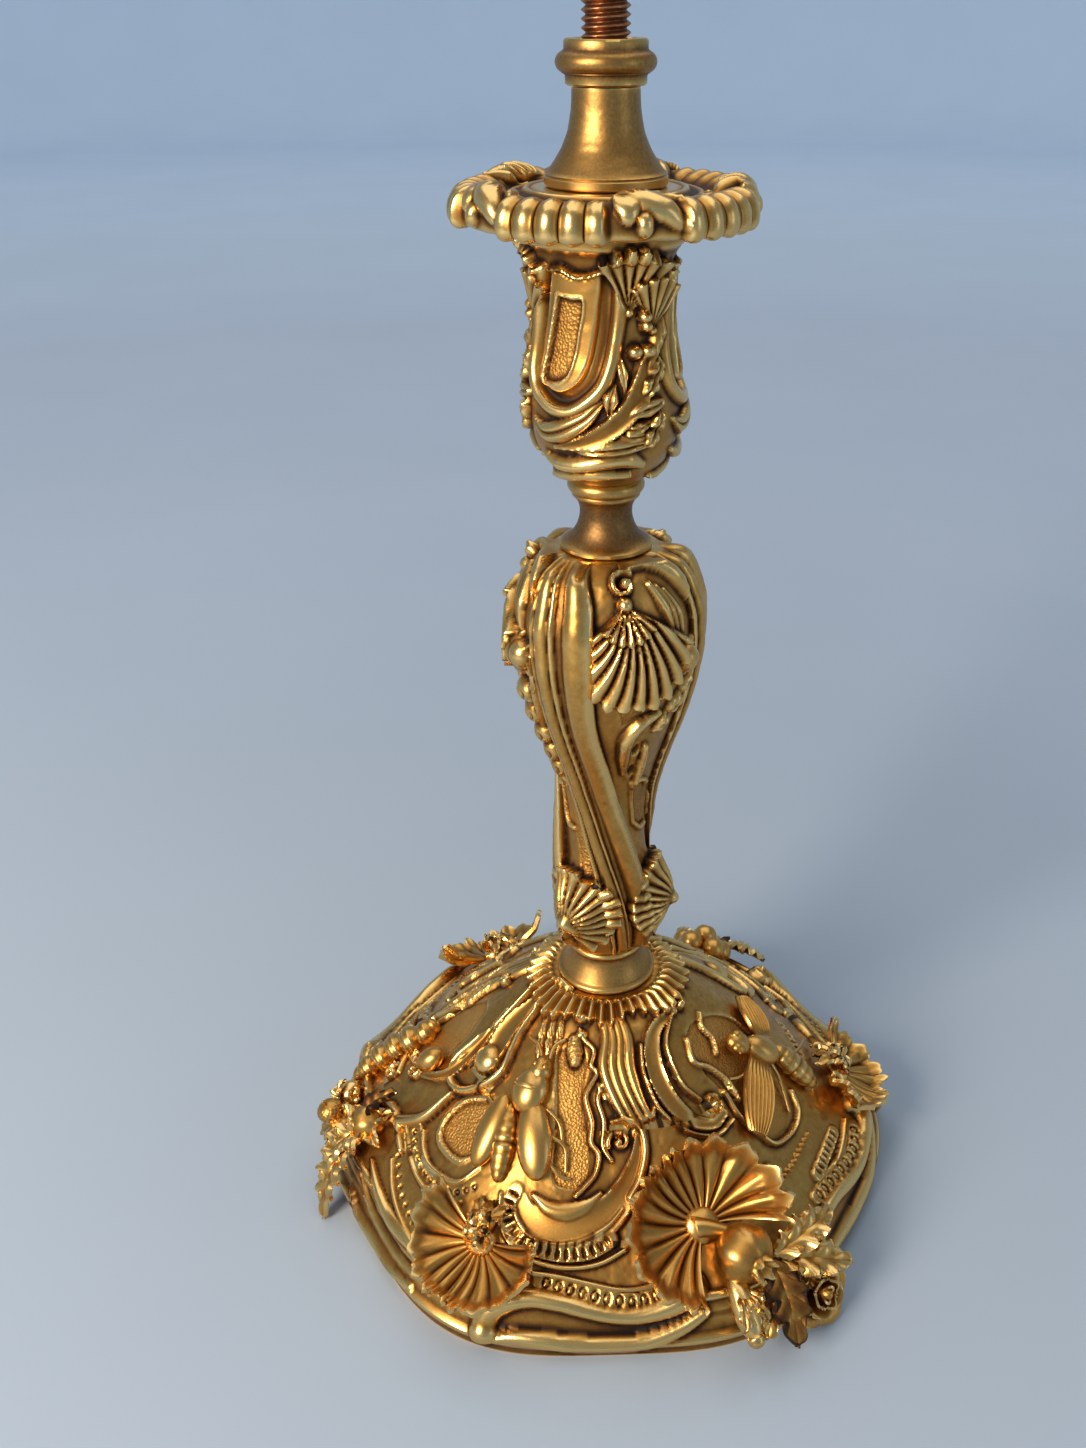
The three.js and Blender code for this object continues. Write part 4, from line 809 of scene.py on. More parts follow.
def beetlePanel(r, k):        # the field behind the beetle, with its wavy edge and strands
    at = lineMaker(domeLevel, 0.8, k)
    field = at([(556, 1050), (581, 1044), (588, 1066), (584, 1096), (588, 1128), (590, 1158),
            (586, 1184), (566, 1190),
                (552, 1176), (556, 1120)])
    patch(r, field, -0.45, 1.0)
    wavy = at([(580, 1030), (585, 1041), (594, 1051), (591, 1066), (597, 1074), (586, 1096),
            (592, 1123), (591, 1142),
               (599, 1155), (596, 1173), (588, 1184), (576, 1196)])
    stroke(r, wavy, 0.8, 1.5)
    stroke(r, at([(604, 1046), (600, 1062), (607, 1074), (598, 1098), (604, 1122), (603, 1146),
            (611, 1160)]), 0.55, 0.9)
    for i in range(4):        # flowing acanthus strands with curled tips
        lead = 8.5 * i
        strand = at([(598 + lead * 0.6, 1004), (606 + lead * 0.8, 1036), (604 + lead, 1068),
                (614 + lead, 1098),
                     (628 + lead * 0.9, 1122 - lead * 0.2), (642 + lead * 0.5, 1128 - lead * 0.9)])
        stroke(r, strand, [1.0, 1.7, 2.1, 2.0, 1.4, 0.9], [0.9, 1.8, 2.2 + 0.4 * (i % 2), 2.4, 2.0,
                1.0])
    leafOn(r, at([(598, 1084), (606, 1093), (618, 1106)]), [1.2, 2.4, 1.0], 1.6, 3)
    for i in range(3):        # tongues between the panel and the left scroll
        leafOn(r, at([(548 + 8 * i, 1018), (541 + 9 * i, 1040), (538 + 9 * i, 1060)]), [0.7, 1.7, 0.5],
               1.4, 2)
    # the scroll that closes the panel on the right, and its cartouche below
    band = at([(640, 1136), (638, 1158), (631, 1180), (620, 1200), (604, 1218), (583, 1231),
            (560, 1235), (540, 1229),
               (524, 1214), (516, 1196)])
    stroke(r, band, [2.0, 3.2, 4.4, 5.4, 5.8, 5.6, 5.0, 3.2], [1.6, 2.0, 2.0, 1.6, 1.2, 1.0, 1.0, 1.0],
           "dish", 0.0, 0.8)
    curl(r, spot(at, 619, 1142), 3.4, 200, 1.2, 1.1, 2.6, -1)
    stroke(r, at([(612, 1122), (628, 1120), (641, 1130), (645, 1152), (640, 1178), (630, 1198)]),
           [0.7, 1.3, 1.5, 1.3], 2.3)
    lip = at([(514, 1206), (519, 1222), (530, 1236), (546, 1243), (566, 1244), (588, 1238),
            (608, 1226), (622, 1210)])
    stroke(r, lip, 0.8, 1.7)
    slots = at([(517, 1190), (508, 1207), (510, 1225), (522, 1242), (542, 1251), (566, 1255),
            (590, 1252), (612, 1240)])
    stroke(r, slots, 2.4, 0.9, "flat")
    beadsAlong(r, slots, 2.5, (0.72, 1.75), -1.25)
    stroke(r, at([(502, 1194), (501, 1217), (506, 1237), (523, 1256), (551, 1266), (576, 1268),
            (602, 1263), (625, 1250)]), 0.85, 1.6)
    stroke(r, at([(534, 1195), (548, 1208), (566, 1212), (586, 1206), (600, 1194)]),
           [0.8, 2.2, 2.8, 2.2, 0.8], 1.4, "roll", 0.3)


def frontRim(r, k, tall=1.0):        # sunken oval beads and the scroll that lies along the rim
    at = lineMaker(domeLevel, 0.8, k)
    row = at([(540, 1281), (560, 1287), (590, 1295), (619, 1301), (640, 1301), (662, 1293)])
    stroke(r, row, 2.5, 0.7, "flat")
    beadsAlong(r, row, 3.7, (1.25, 1.75), -1.3)
    beadsAlong(r, row, 3.7, (0.8, 1.2), 0.5)
    stroke(r, at([(533, 1273), (560, 1277), (590, 1284), (619, 1290), (645, 1288), (668, 1278)]), 0.6,
           1.2)
    top = at([(484, 1322), (492, 1310), (510, 1301), (533, 1298), (559, 1303), (585, 1310),
            (611, 1315), (637, 1315),
              (663, 1309), (680, 1301), (696, 1288)])
    trough = at([(494, 1328), (514, 1319), (542, 1320), (576, 1327), (611, 1330), (640, 1328),
            (668, 1319), (690, 1304)])
    stroke(r, trough, 4.2, 0.0, "dish", -0.4, 1.4)
    stroke(r, top, [3.8, 2.9, 2.5, 2.5, 2.9, 3.8], np.array([3.2, 2.8, 2.4, 2.4, 2.8, 3.2]) * tall)
    stroke(r, at([(490, 1338), (512, 1336), (542, 1340), (576, 1345), (611, 1346), (645, 1342),
            (680, 1328), (704, 1312)]),
           [1.8, 2.8, 3.4, 3.4, 2.8, 2.0], [2.2, 2.6, 2.6, 2.6, 2.4, 2.0])
    bead(r, spot(at, 484, 1330), sideways, (4.0, 4.0), 4.2)
    bead(r, spot(at, 691, 1286), sideways, (4.6, 4.6), 4.4)
    curl(r, spot(at, 691, 1286), 4.4, 200, 1.0, 1.2, 4.6, -1)


def sideRim(r):        # the plain mouldings of the left side of the rim
    at = lineMaker(domeLevel, 0.8, 0)
    stroke(r, at([(352, 1187), (363, 1222), (384, 1258), (412, 1287)]), [0.8, 2.0, 2.0, 1.3],
           [1.2, 2.5, 2.5, 1.6])
    stroke(r, at([(372, 1160), (379, 1190), (394, 1224), (417, 1254)]), [0.8, 1.8, 1.9, 1.0],
           [1.0, 2.2, 2.3, 1.4])
    groove(r, at([(362, 1174), (371, 1206), (389, 1240), (414, 1270)]), 1.8, 1.2)


def flyPanel(r, k):        # the C-scroll, waves and bands behind the fly
    at = lineMaker(domeLevel, 0.8, k)
    scroll = at([(672, 1010), (655, 1028), (651, 1050), (657, 1078), (672, 1104), (692, 1121),
            (712, 1124), (722, 1114)])
    stroke(r, scroll, [1.6, 2.4, 2.9, 3.1, 2.9, 2.3, 1.8], [1.9, 2.3, 2.4, 2.4, 2.3, 2.3], "dish", 0.2,
           0.7)
    curl(r, spot(at, 676, 1006), 3.0, 190, 1.1, 1.0, 2.7, -1)
    curl(r, spot(at, 711, 1105), 3.2, 320, 1.15, 1.1, 2.9, 1)
    stroke(r, at([(640, 1046), (643, 1073), (656, 1105), (674, 1124), (695, 1135), (716, 1135),
            (730, 1121)]), 0.8, 2.6)
    stroke(r, at([(668, 1018), (664, 1041), (669, 1062), (681, 1086), (698, 1101)]), 0.6, 2.5)
    field = at([(684, 1040), (692, 1022), (715, 1014), (740, 1024), (768, 1060), (760, 1098),
            (735, 1100), (706, 1076)])
    patch(r, field, -0.45, 1.0)
    stroke(r, at([(686, 1040), (693, 1062), (709, 1068), (727, 1082), (738, 1100)]), 0.75, 1.4)
    stroke(r, at([(699, 1014), (701, 1027), (712, 1039), (716, 1053)]), 0.7, 1.2)
    stroke(r, at([(722, 1092), (738, 1116), (758, 1134), (775, 1144), (792, 1131), (797, 1112),
            (790, 1092)]), 0.9, 1.7)
    patch(r, at([(738, 1106), (756, 1128), (775, 1138), (788, 1124), (786, 1100), (765, 1086)]), -0.3,
          0.5)
    row = at([(809, 1132), (801, 1148), (793, 1164), (783, 1178)])
    beadsAlong(r, row, 2.5, (0.95, 0.95), 1.1)
    curl(r, spot(at, 770, 1174), 2.4, 60, 1.0, 0.9, 2.0, 1)
    slotRow = at([(833, 1132), (826, 1152), (817, 1175)])
    stroke(r, slotRow, 2.3, 0.8, "flat")
    beadsAlong(r, slotRow, 2.3, (0.65, 1.7), -1.2)
    stroke(r, at([(843, 1120), (840, 1146), (830, 1176), (818, 1196)]), 0.8, 1.6)
    slots = at([(778, 1024), (790, 1040), (800, 1058)])
    stroke(r, slots, 2.2, 0.9, "flat")
    beadsAlong(r, slots, 2.4, (0.65, 1.6), -1.2)
    stroke(r, at([(786, 1012), (802, 1032), (824, 1054)]), [1.2, 1.9, 1.2], [1.5, 2.4, 1.6])


def sideScrolls(r, k):        # what stands behind the larva
    a = -176 + k
    lines = [
        ([(.34, -14), (.44, -22), (.58, -24), (.72, -16), (.78, -4)], [1.2, 2.6, 3.2, 2.8, 1.6],
         "dish", 2.3),
        ([(.36, 12), (.48, 18), (.6, 16), (.68, 6)], [1.0, 2.0, 2.2, 1.2], "dish", 2.0),
        ([(.5, -8), (.6, -12), (.7, -8), (.74, 0)], [0.8, 0.9, 0.8], "roll", 1.5),
        ([(.62, 24), (.74, 20), (.84, 8), (.87, -6)], [1.2, 2.2, 2.4, 1.4], "roll", 2.2),
    ]
    for places, width, shape, height in lines:
        line = smoothLine([domeSpot(s, a + d) for s, d in places])
        stroke(r, line, width, height, shape, 0.1, 0.6)
    field = smoothLine([domeSpot(s, a + d) for s, d in [(.42, -6), (.52, -12), (.64, -10), (.68, 0),
                                                        (.62, 8), (.5, 8), (.42, 2)]])
    patch(r, field, -0.4, 1.0)
    for s, d, hand in [(.76, -1, 1), (.68, 5, -1), (.35, -12, 1)]:
        curl(r, domeSpot(s, a + d), 3.2, 120, 1.1, 1.0, 2.6, hand)
    beadsAlong(r, ringLine(.8, a - 20, a - 6), 2.8, (0.8, 1.5), -1.2)


def roughen(r, layers):        # the cast skin: each layer's height, size and seed
    r["height"] += sum(height * hashNoise(r["points"], size, seed) for height, size, seed in layers)


def plainGround(r):        # the slopes of the dome sway a little, as hand-worked bronze does
    angle, out = around(r["points"])
    first, second = base["swell"]
    swell = baseWave(angle) * first + np.cos(3 * angle + 0.6) * second
    r["height"] += swell * smoothStep((out - 30) / 20) * smoothStep((92 - out) / 12)
    roughen(r, base["skin"])


def ruff(r):        # the fluted frill round the crown
    angle, out = around(r["points"])
    wave = np.cos(angle * base["ruffFlutes"])
    edge = base["ruffRadius"] + 0.8 * wave + 1.2 * np.cos(3 * angle + 1.0) + 0.9 * np.cos(8 * angle)
    share = (out - base["ruffRoot"]) / (edge - base["ruffRoot"])
    inside = (share > 0) & (share < 1)
    body = 0.5 + 1.9 * np.clip(share, 0, 1) ** 1.3
    flute = base["ruffDeep"] * wave * smoothStep(share * 3)
    mask = smoothStep((1 - share) * 6) * smoothStep(share * 8)
    r["height"] = np.where(inside, r["height"] * (1 - mask) + (body + flute) * mask, r["height"])


# where each panel stands, in degrees from the place where the photograph shows it
panelTurns = {
    flyPanel: (0, 180),
    beetlePanel: (0, 246),
    leftFrontScrolls: (0, 180),
    sideScrolls: (0, 254),
}
# where each piece of the rim's scroll stands, in degrees, and how tall its roll is
rimTurns = ((0, 1.0), (68, 1.2), (119, 1.6), (187, 1.6), (240, 1.5))


def dressDome(r):
    plainGround(r)
    for share, *moulding in base["mouldings"]:
        stroke(r, ringLine(share, -180, 180, 400), *moulding)
    for panel, turns in panelTurns.items():
        for k in turns:
            panel(r, k)
    for k, tall in rimTurns:
        frontRim(r, k, tall)
    sideRim(r)
    ruff(r)


def baseRing(name, fromShare, toShare, columns, rows):
    # one ring of the base: its carved face outside, its wall's plain face inside
    startsAtBore, endsAtFoot = name == "base_crown", name == "base_skirt"
    shares = np.linspace(fromShare, toShare, rows)
    section = [(s, 0.0, None, 1.0) for s in shares]        # (share, inset, height, carved)

    def inner(s):
        e = 0.002
        slopeZ = (domeHeight(np.array([min(s + e, 1.0)])) - domeHeight(np.array([max(s - e, 0.0)])))[0]
        slopeR = (min(s + e, 1.0) - max(s - e, 0.0)) * base["outline"]
        long = math.hypot(slopeZ, slopeR)
        return (s, -base["wall"] * slopeZ / long,
                domeHeight(np.array([s]))[0] - base["wall"] * slopeR / long, 0.0)

    if endsAtFoot:
        edge = domeHeight(np.array([1.0]))[0]
        section += [(1.0, 0.0, edge * f, f) for f in (0.85, 0.7, 0.5, 0.3, 0.12, 0.0)]
        section += [(1.0, base["foot"] * f, 0.0, 0.0) for f in (0.3, 0.7, 1.0)]
        section += [(1.0, base["foot"], base["footHeight"] * f, 0.0) for f in (0.5, 1.0)]
        innerShares = np.linspace(0.955, fromShare, 5)
    else:
        innerShares = np.linspace(toShare, fromShare, 9)
    section += [inner(s) for s in innerShares]
    section.append(section[0])
    piece, angle, row = ringGrid(name, columns, len(section) - 1)
    table = np.array([[s, inset, -1.0 if z is None else z, carved] for s, inset, z, carved in section])
    s, inset, z, carved = table[row].T
    outer = domePoint(angle, s)
    r = s * baseOutline(angle) - inset
    points = np.stack([r * np.cos(angle), r * np.sin(angle), np.where(z < 0, outer[:, 2], z)], axis=1)
    # the rows near a joint line take the tone of the rows beyond them, as in one casting
    beyond = hollowForm["seamRows"]
    fromStart = np.where(row <= rows - 1, row, len(section) - 1 - row)
    seam = np.minimum(beyond if startsAtBore else fromStart,
            beyond if endsAtFoot else np.abs(rows - 1 - row))
    carvePiece(piece, points, domeNormals(angle, s), carved, dressDome, "base_shell", 0.0,
               seam=np.where(carved > 0, np.minimum(seam, beyond), beyond), reach=1.3, level=0.39)


fine = 1.0        # a coarser carving while the other pieces are worked on
for name, (fromShare, toShare, columns, rows) in base["rings"].items():
    baseRing(name, fromShare, toShare, int(columns * fine), int(rows * fine))
print("base carved")


# the twisted stem
stem = {
    "radius": 25.2, "bottom": 83.6, "top": 211.2, "bore": 6.2,
    "profile": [(0, .42), (.05, .455), (.16, .49), (.28, .485), (.36, .49), (.42, .515), (.48, .58),
        (.54, .67),
                (.6, .77), (.66, .86), (.73, .94), (.8, .985), (.86, .98), (.92, .9), (.965, .78),
        (1, .56)],
    "bandAngle": -121.0, "bandSweep": 67.0,
    "bandTurn": [(0, 1.08), (.08, 1), (.18, .82), (.28, .59), (.38, .36), (.47, .2), (.67, .05),
        (.92, 0), (1, -.08)],
    # degrees
    "bandHalf": [(0, 30), (.1, 30), (.28, 28.5), (.47, 25), (.67, 20), (.92, 22.5), (1, 20)],
    # place, half width, height
    "ribs": [(-.9, .1, 1.3), (-.52, .26, 2.2), (-.2, .1, 1.4), (.58, .42, 3.4)],
    "footShell": 7.6, "footShellAt": .13, "footShellTall": .08, "footShellHalf": 24.0,
        "footShellAngle": -127.0,
    "panels": (0, 120, 240), "panelSunk": 0.7, "husksAt": (-162, 78), "mattFrom": .22, "mattTo": .46,
    "skin": [(0.07, 2.4, 3), (0.04, 1.0, 4)], "grid": (340, 276),
    # radius, half angle, ribs, height and its dish
    "footFan": (13.0, 165, 19, 3.4, 0.5, 0.08, 0.2, 0.78),
    # heights of the boss and husks
    "boss": 184, "husks": (172.5, 166.0, 159.5, 153.5, 148.0, 143.5),
    # the sizes shrink by each step
    "huskStep": 2.6, "huskSize": (4.6, 0.45), "huskTall": (3.7, 0.3),
}
stemProfile = hermite(stem["profile"])
bandTurn = hermite(stem["bandTurn"])
bandHalf = hermite(stem["bandHalf"])


def stemShare(z):
    return np.clip((z - stem["bottom"]) / (stem["top"] - stem["bottom"]), 0, 1)


def bandPlace(angle, z):        # where a point lies across the nearest band: -1 to 1 on the band
    t = stemShare(z)
    middle = stem["bandAngle"] + stem["bandSweep"] * bandTurn(t)
    off = (np.degrees(angle) - middle + 60) % 120 - 60
    return off / bandHalf(t)


def stemRadius(angle, z):
    t = stemShare(z)
    across = bandPlace(angle, z)
    s = stem
    # degrees from the middle of a foot shell
    panel = (np.degrees(angle) - s["footShellAngle"] + 60) % 120 - 60
    swell = (s["footShell"] * np.exp(-((t - s["footShellAt"]) / s["footShellTall"]) ** 2)
             * np.exp(-(panel / s["footShellHalf"]) ** 2))
    onBand = smoothStep((1 - np.abs(across)) * 5)
    sunk = s["panelSunk"] * (1 - onBand) * smoothStep(t * 12) * smoothStep((1 - t) * 12)
    return s["radius"] * stemProfile(t) + swell - sunk


def stemPoint(angle, z):
    r = stemRadius(angle, z)
    return np.stack([r * np.cos(angle), r * np.sin(angle), z], axis=1)


def stemLevel(points):
    angle, r = around(points)
    z = points[:, 2]
    level = r - stemRadius(angle, z)
    return np.where((z > stem["bottom"]) & (z < stem["top"]), level, 50.0)


def onStemAt(degrees, z):
    return stemPoint(np.array([math.radians(degrees)]), np.array([float(z)]))[0]


def stemBands(r):
    p = r["points"]
    t = stemShare(p[:, 2])
    across = bandPlace(around(p)[0], p[:, 2])
    fade = smoothStep(t * 30 + 0.25) * smoothStep((1 - t) * 22 + 0.1)
    ribs = np.zeros(len(p))
    for place, half, height in stem["ribs"]:
        x = (across - place) / half
        ribs = np.maximum(ribs, np.sqrt(np.clip(1 - x * x, 0, 1)) * height * fade)
    onBand = smoothStep((1.02 - np.abs(across)) * 30)
    r["height"] = r["height"] * (1 - onBand) + (ribs + 0.3) * onBand


def stemPanel(r, k):        # shell, volute, bud and cartouche of a panel
    at = lineMaker(stemLevel, 0.6, k)
    down = at([(624, 606), (627, 640)])
    fan(r, down[0], down[-1] - down[0] + (0.6, 0, 0), 26.0, 68, 11, 4.4, 0.7, 0.07, 0.1, 0.66, 0.35)
    fan(r, at([(625, 607), (626, 620)])[0], at([(625, 607), (626, 625)])[-1] - down[0], 9.0, 50, 7,
        4.2, 0.6, 0.08, 0.2)
    stroke(r, at([(624, 568), (640, 563), (660, 568), (680, 586), (696, 610)]),
           [1.6, 2.3, 2.6, 2.4, 1.6], [2.4, 3.0, 3.0, 2.6, 1.4])
    curl(r, spot(at, 623, 586), 3.8, 60, 1.1, 1.3, 3.4, 1)
    for i in range(3):        # acanthus strips between the volute and the band on the right
        stroke(r, at([(648 + 7 * i, 584 + 3 * i), (662 + 6 * i, 606 + 2 * i), (672 + 4 * i, 634)]),
               [0.8, 1.5, 0.7], [1.2, 2.2, 1.2])
    bud = spot(at, 682, 656)
    bead(r, bud, upright, (4.3, 4.0), 4.6)
    for i in range(4):
        stroke(r, at([(664 + 9 * i, 672), (662 + 8 * i, 650), (668 + 7 * i, 636)]), [0.5, 1.1, 0.5],
               [1.2, 2.4, 1.4])
    leafOn(r, at([(688, 668), (678, 690), (664, 712), (652, 730)]), [1.6, 2.8, 1.0], 2.6, 3)
    patch(r, at([(617, 702), (637, 701), (656, 700), (650, 716), (638, 718), (621, 727)]), -0.3, 1.0)
    stroke(r, at([(612, 700), (636, 698), (660, 697)]), 0.7, 1.2)
    stroke(r, at([(622, 772), (623, 752), (627, 737), (640, 722), (658, 712)]),
           [1.0, 1.9, 2.2, 1.8, 1.0], [1.4, 2.6, 3.0, 2.6, 1.4])
    stroke(r, at([(644, 744), (640, 762), (632, 786)]), [0.8, 1.4, 0.6], 2.0)
    for pixel in ((636, 750), (631, 770)):
        bead(r, spot(at, *pixel), upright, (2.0, 1.0), -1.3)
    patch(r, at([(631, 782), (645, 780), (646, 806), (640, 826), (632, 822)]), -0.4, 1.0)
    stroke(r, closed(at([(631, 782), (645, 780), (646, 806), (640, 826), (632, 822)])), 0.45, 0.8)


def stemHusks(r, degrees):        # an oval boss and a chain of husks below it
    boss = onStemAt(degrees, stem["boss"])
    bead(r, boss, upright, (7.2, 5.2), 3.6)
    bead(r, boss, upright, (4.4, 2.8), 4.6)
    (wide, thinner), (tall, lower) = stem["huskSize"], stem["huskTall"]
    for i, z in enumerate(stem["husks"]):
        middle = degrees + 2 + stem["huskStep"] * i
        place = onStemAt(middle, z)
        bead(r, place, upright, (3.6, wide - thinner * i), tall - lower * i)
        for side in (-1, 1):
            groove(r, smoothLine([place + upright * 2.6, onStemAt(middle + side * 6, z),
                                  place - upright * 2.6], 0.5), 0.5, 0.7)
    for side in (-1, 1):
        line = smoothLine([onStemAt(degrees + side * 18, 205), onStemAt(degrees + side * 24, 190),
                           onStemAt(degrees + side * 17, 172), onStemAt(degrees + side * 9, 158)])
        stroke(r, line, [1.2, 2.2, 1.8, 0.8], [1.4, 2.6, 2.2, 1.0])


def stemFootShell(r, k):        # the shell at the foot of each panel, root up and flutes down
    z = stem["bottom"] + (stem["top"] - stem["bottom"]) * stem["footShellAt"]
    middle = stem["footShellAngle"] + k
    root, low, high = [onStemAt(middle, z + rise) for rise in (-1.0, -9, 9)]
    fan(r, root, high - root, *stem["footFan"])
    bead(r, root - (high - low) * 0.1, high - low, (4.6, 2.6), 4.4)
    stroke(r, smoothLine([root, onStemAt(middle + 8, z - 4), onStemAt(middle + 13, z - 8)]),
           [2.0, 1.4, 0.6],
           [3.2, 2.2, 1.0])


def mattedStrip(r, k):        # the matted strip left of each band
    shares = np.linspace(stem["mattFrom"], stem["mattTo"], 12)
    angle = stem["bandAngle"] + stem["bandSweep"] * bandTurn(shares) + k - bandHalf(shares) - 12
    z = stem["bottom"] + shares * (stem["top"] - stem["bottom"])
    left = [onStemAt(a - 9, h) for a, h in zip(angle, z)]
    right = [onStemAt(a + 9, h) for a, h in zip(angle, z)][::-1]
    patch(r, smoothLine(left + right, 0.6), -0.35, 1.0)


def dressStem(r):
    for k in stem["panels"]:
        stemPanel(r, k)
    for degrees in stem["husksAt"]:
        stemHusks(r, degrees)
    stemBands(r)
    for k in stem["panels"]:
        stemFootShell(r, k)
        mattedStrip(r, k)
    roughen(r, stem["skin"])


onFace, halfWayIn = -1.0, 0.5        # these stand for a radius where a section meets the carved face


def makeStem():
    columns, rows = [int(n * fine) for n in stem["grid"]]
    heights = np.linspace(stem["bottom"], stem["top"], rows)
    section = [(h, onFace, 1.0) for h in heights]        # height, radius, carved
    section += [(stem["top"], halfWayIn, 0.0), (stem["top"], stem["bore"], 0.0)]
    section += [(h, stem["bore"], 0.0) for h in np.linspace(stem["top"], stem["bottom"], 8)[1:]]
    section += [(stem["bottom"], halfWayIn, 0.0), (heights[0], onFace, 1.0)]
    piece, angle, row = ringGrid("stem", columns, len(section) - 1)
    z, fixed, carved = np.array(section)[row].T
    outer = stemRadius(angle, z)
    radius = np.where(fixed == onFace, outer, np.where(fixed == halfWayIn, outer * 0.6, fixed))
    points = np.stack([radius * np.cos(angle), radius * np.sin(angle), z], axis=1)
    normals = normalsOf(stemPoint, angle, np.clip(z, stem["bottom"] + 0.3, stem["top"] - 0.3), 0.004,
            0.15)
    carvePiece(piece, points, normals, carved, dressStem, "stem_casting", stem["bottom"], stem["top"],
            reach=1.2)


makeStem()
print("stem carved")


# the candle cup
cup = {"radius": 20.4, "bottom": 230.7, "top": 292.0, "bore": 13.2, "boreDeep": 40.0, "hole": 6.2,
       "lobe": 0.6, "lobeAngle": -119, "panels": (0, 120, 240), "skin": [(0.06, 2.2, 5)],
       "grid": (440, 150), "profile": [(0, .5), (.04, .64), (.09, .77), (.18, .89), (.28, .935),
                                       (.46, .88), (.57, .825), (.7, .8), (.83, .815), (.92, .87),
                                       (.955, .96), (1, .97)]}
cupProfile = hermite(cup["profile"])


def cupRadius(angle, z):
    t = np.clip((z - cup["bottom"]) / (cup["top"] - cup["bottom"]), 0, 1)
    lobes = cup["lobe"] * np.cos(3 * (angle - math.radians(cup["lobeAngle"])))
    return cup["radius"] * cupProfile(t) - lobes * smoothStep((t - .2) * 4) * smoothStep((1 - t) * 8)


def cupPoint(angle, z):
    r = cupRadius(angle, z)
    return np.stack([r * np.cos(angle), r * np.sin(angle), z], axis=1)


def cupLevel(points):
    z = points[:, 2]
    angle, r = around(points)
    level = r - cupRadius(angle, z)
    return np.where((z > cup["bottom"]) & (z < cup["top"]), level, 50.0)


def cupPanel(r, k):        # a matted recess in a raised frame, rounded below
    at = lineMaker(cupLevel, 0.5, k)
    outer = at([(544, 268), (543, 300), (540, 340), (537, 372), (541, 392), (554, 408), (570, 412),
            (586, 404),
                (602, 388), (611, 366), (616, 338), (620, 305), (620, 270)])
    stroke(r, outer, 1.9, 2.1)
    groove(r, at([(551, 272), (550, 300), (547, 340), (544, 370), (548, 388), (558, 398),
                  (571, 399), (584, 391), (595, 377), (602, 356), (606, 335), (608, 305),
                  (609, 270)]), 1.5, 0.7)
    face = at([(553, 268), (551, 300), (549, 340), (546, 372), (549, 386), (559, 394), (572, 391),
            (584, 380),
               (592, 362), (597, 339), (601, 310), (603, 270), (589, 275), (576, 275), (563, 268)])
    patch(r, face, 1.3, 0.0, 0.9, 0.25)
    stroke(r, at([(553, 268), (563, 267), (576, 275), (589, 275), (603, 270)]), 0.7, 2.0)
    recess = at([(560, 292), (557, 315), (553, 341), (549, 362), (547, 380), (559, 384), (568, 380),
            (574, 371),
                 (579, 354), (582, 335), (586, 300), (573, 296)])
    patch(r, recess, 0.35, 1.0, 0.5)
    stroke(r, closed(recess), 0.4, 1.75)


def cupLeaves(r, k):        # acanthus that sweeps round the bottom and up between the panels
    at = lineMaker(cupLevel, 0.5, k)
    leafOn(r, at([(537, 416), (548, 430), (566, 429), (585, 420), (598, 408), (606, 400)]),
           [0.8, 2.6, 3.0, 2.6, 2.0, 0.8], 2.6, 1.0, False)
    leafOn(r, at([(609, 414), (611, 400), (615, 386)]), [1.2, 2.2, 0.8], 2.6, 1.0, False)
    sweep = at([(556, 446), (584, 441), (612, 427), (630, 408), (640, 388), (648, 366)])
    stroke(r, sweep, [0.9, 1.8, 2.6, 2.8, 3.0, 3.4], [1.6, 2.6, 3.0, 3.0, 3.0, 2.6], "dish", 0.0, 0.6)
    for line, width in (([(626, 419), (640, 410), (659, 402)], 2.4),
                        ([(622, 430), (636, 427), (648, 422)], 1.6),
                        ([(616, 437), (630, 435), (647, 433)], 1.5),
                        ([(576, 450), (604, 448), (630, 444), (647, 441)], 2.6)):
        leafOn(r, at(line), [0.8, width, width * 0.8], 2.8, 1.0, False)
    stroke(r, at([(549, 452), (560, 460), (575, 463), (592, 462), (609, 459), (626, 458), (641, 463)]),
           [0.8, 2.0, 2.2, 2.2, 2.4, 2.4, 1.2],
           [1.4, 2.6, 2.8, 2.8, 2.8, 2.6, 1.4])
    stroke(r, at([(556, 470), (578, 474), (604, 474), (628, 472)]), [0.8, 1.9, 1.9, 0.8], 1.8)
    # husk of flutes under the pan, with two small balls below it
    husk = at([(640, 262), (636, 290), (630, 306)])
    fan(r, at([(628, 312), (629, 311)])[0], husk[0] - husk[-1], 14.0, 46, 7, 2.8, 0.5, 0.1, 0.1)
    fan(r, at([(650, 330), (651, 329)])[0], husk[0] - husk[-1], 12.0, 40, 6, 3.0, 0.5, 0.1, 0.1)
    for pixel, size in (((643, 316), 1.7), ((644, 326), 1.5), ((634, 352), 1.9), ((646, 351), 2.0)):
        bead(r, spot(at, *pixel), upright, (size, size), 3.0)
    leafOn(r, at([(625, 396), (622, 372), (618, 352)]), [0.5, 1.5, 0.5], 2.0, 1.0, False)
    for i in range(3):
        stroke(r, at([(646 + 4 * i, 372 - 12 * i), (651 + 3 * i, 352 - 8 * i),
                (654 + 2 * i, 328 - 6 * i)]), [0.9, 1.7, 0.9], [1.4, 2.6, 1.6])
    leafOn(r, at([(642, 398), (651, 380), (656, 358)]), [1.2, 3.0, 1.4], 2.8, 2)
    leafOn(r, at([(642, 446), (652, 430), (658, 410)]), [1.2, 2.8, 1.2], 2.8, 2)


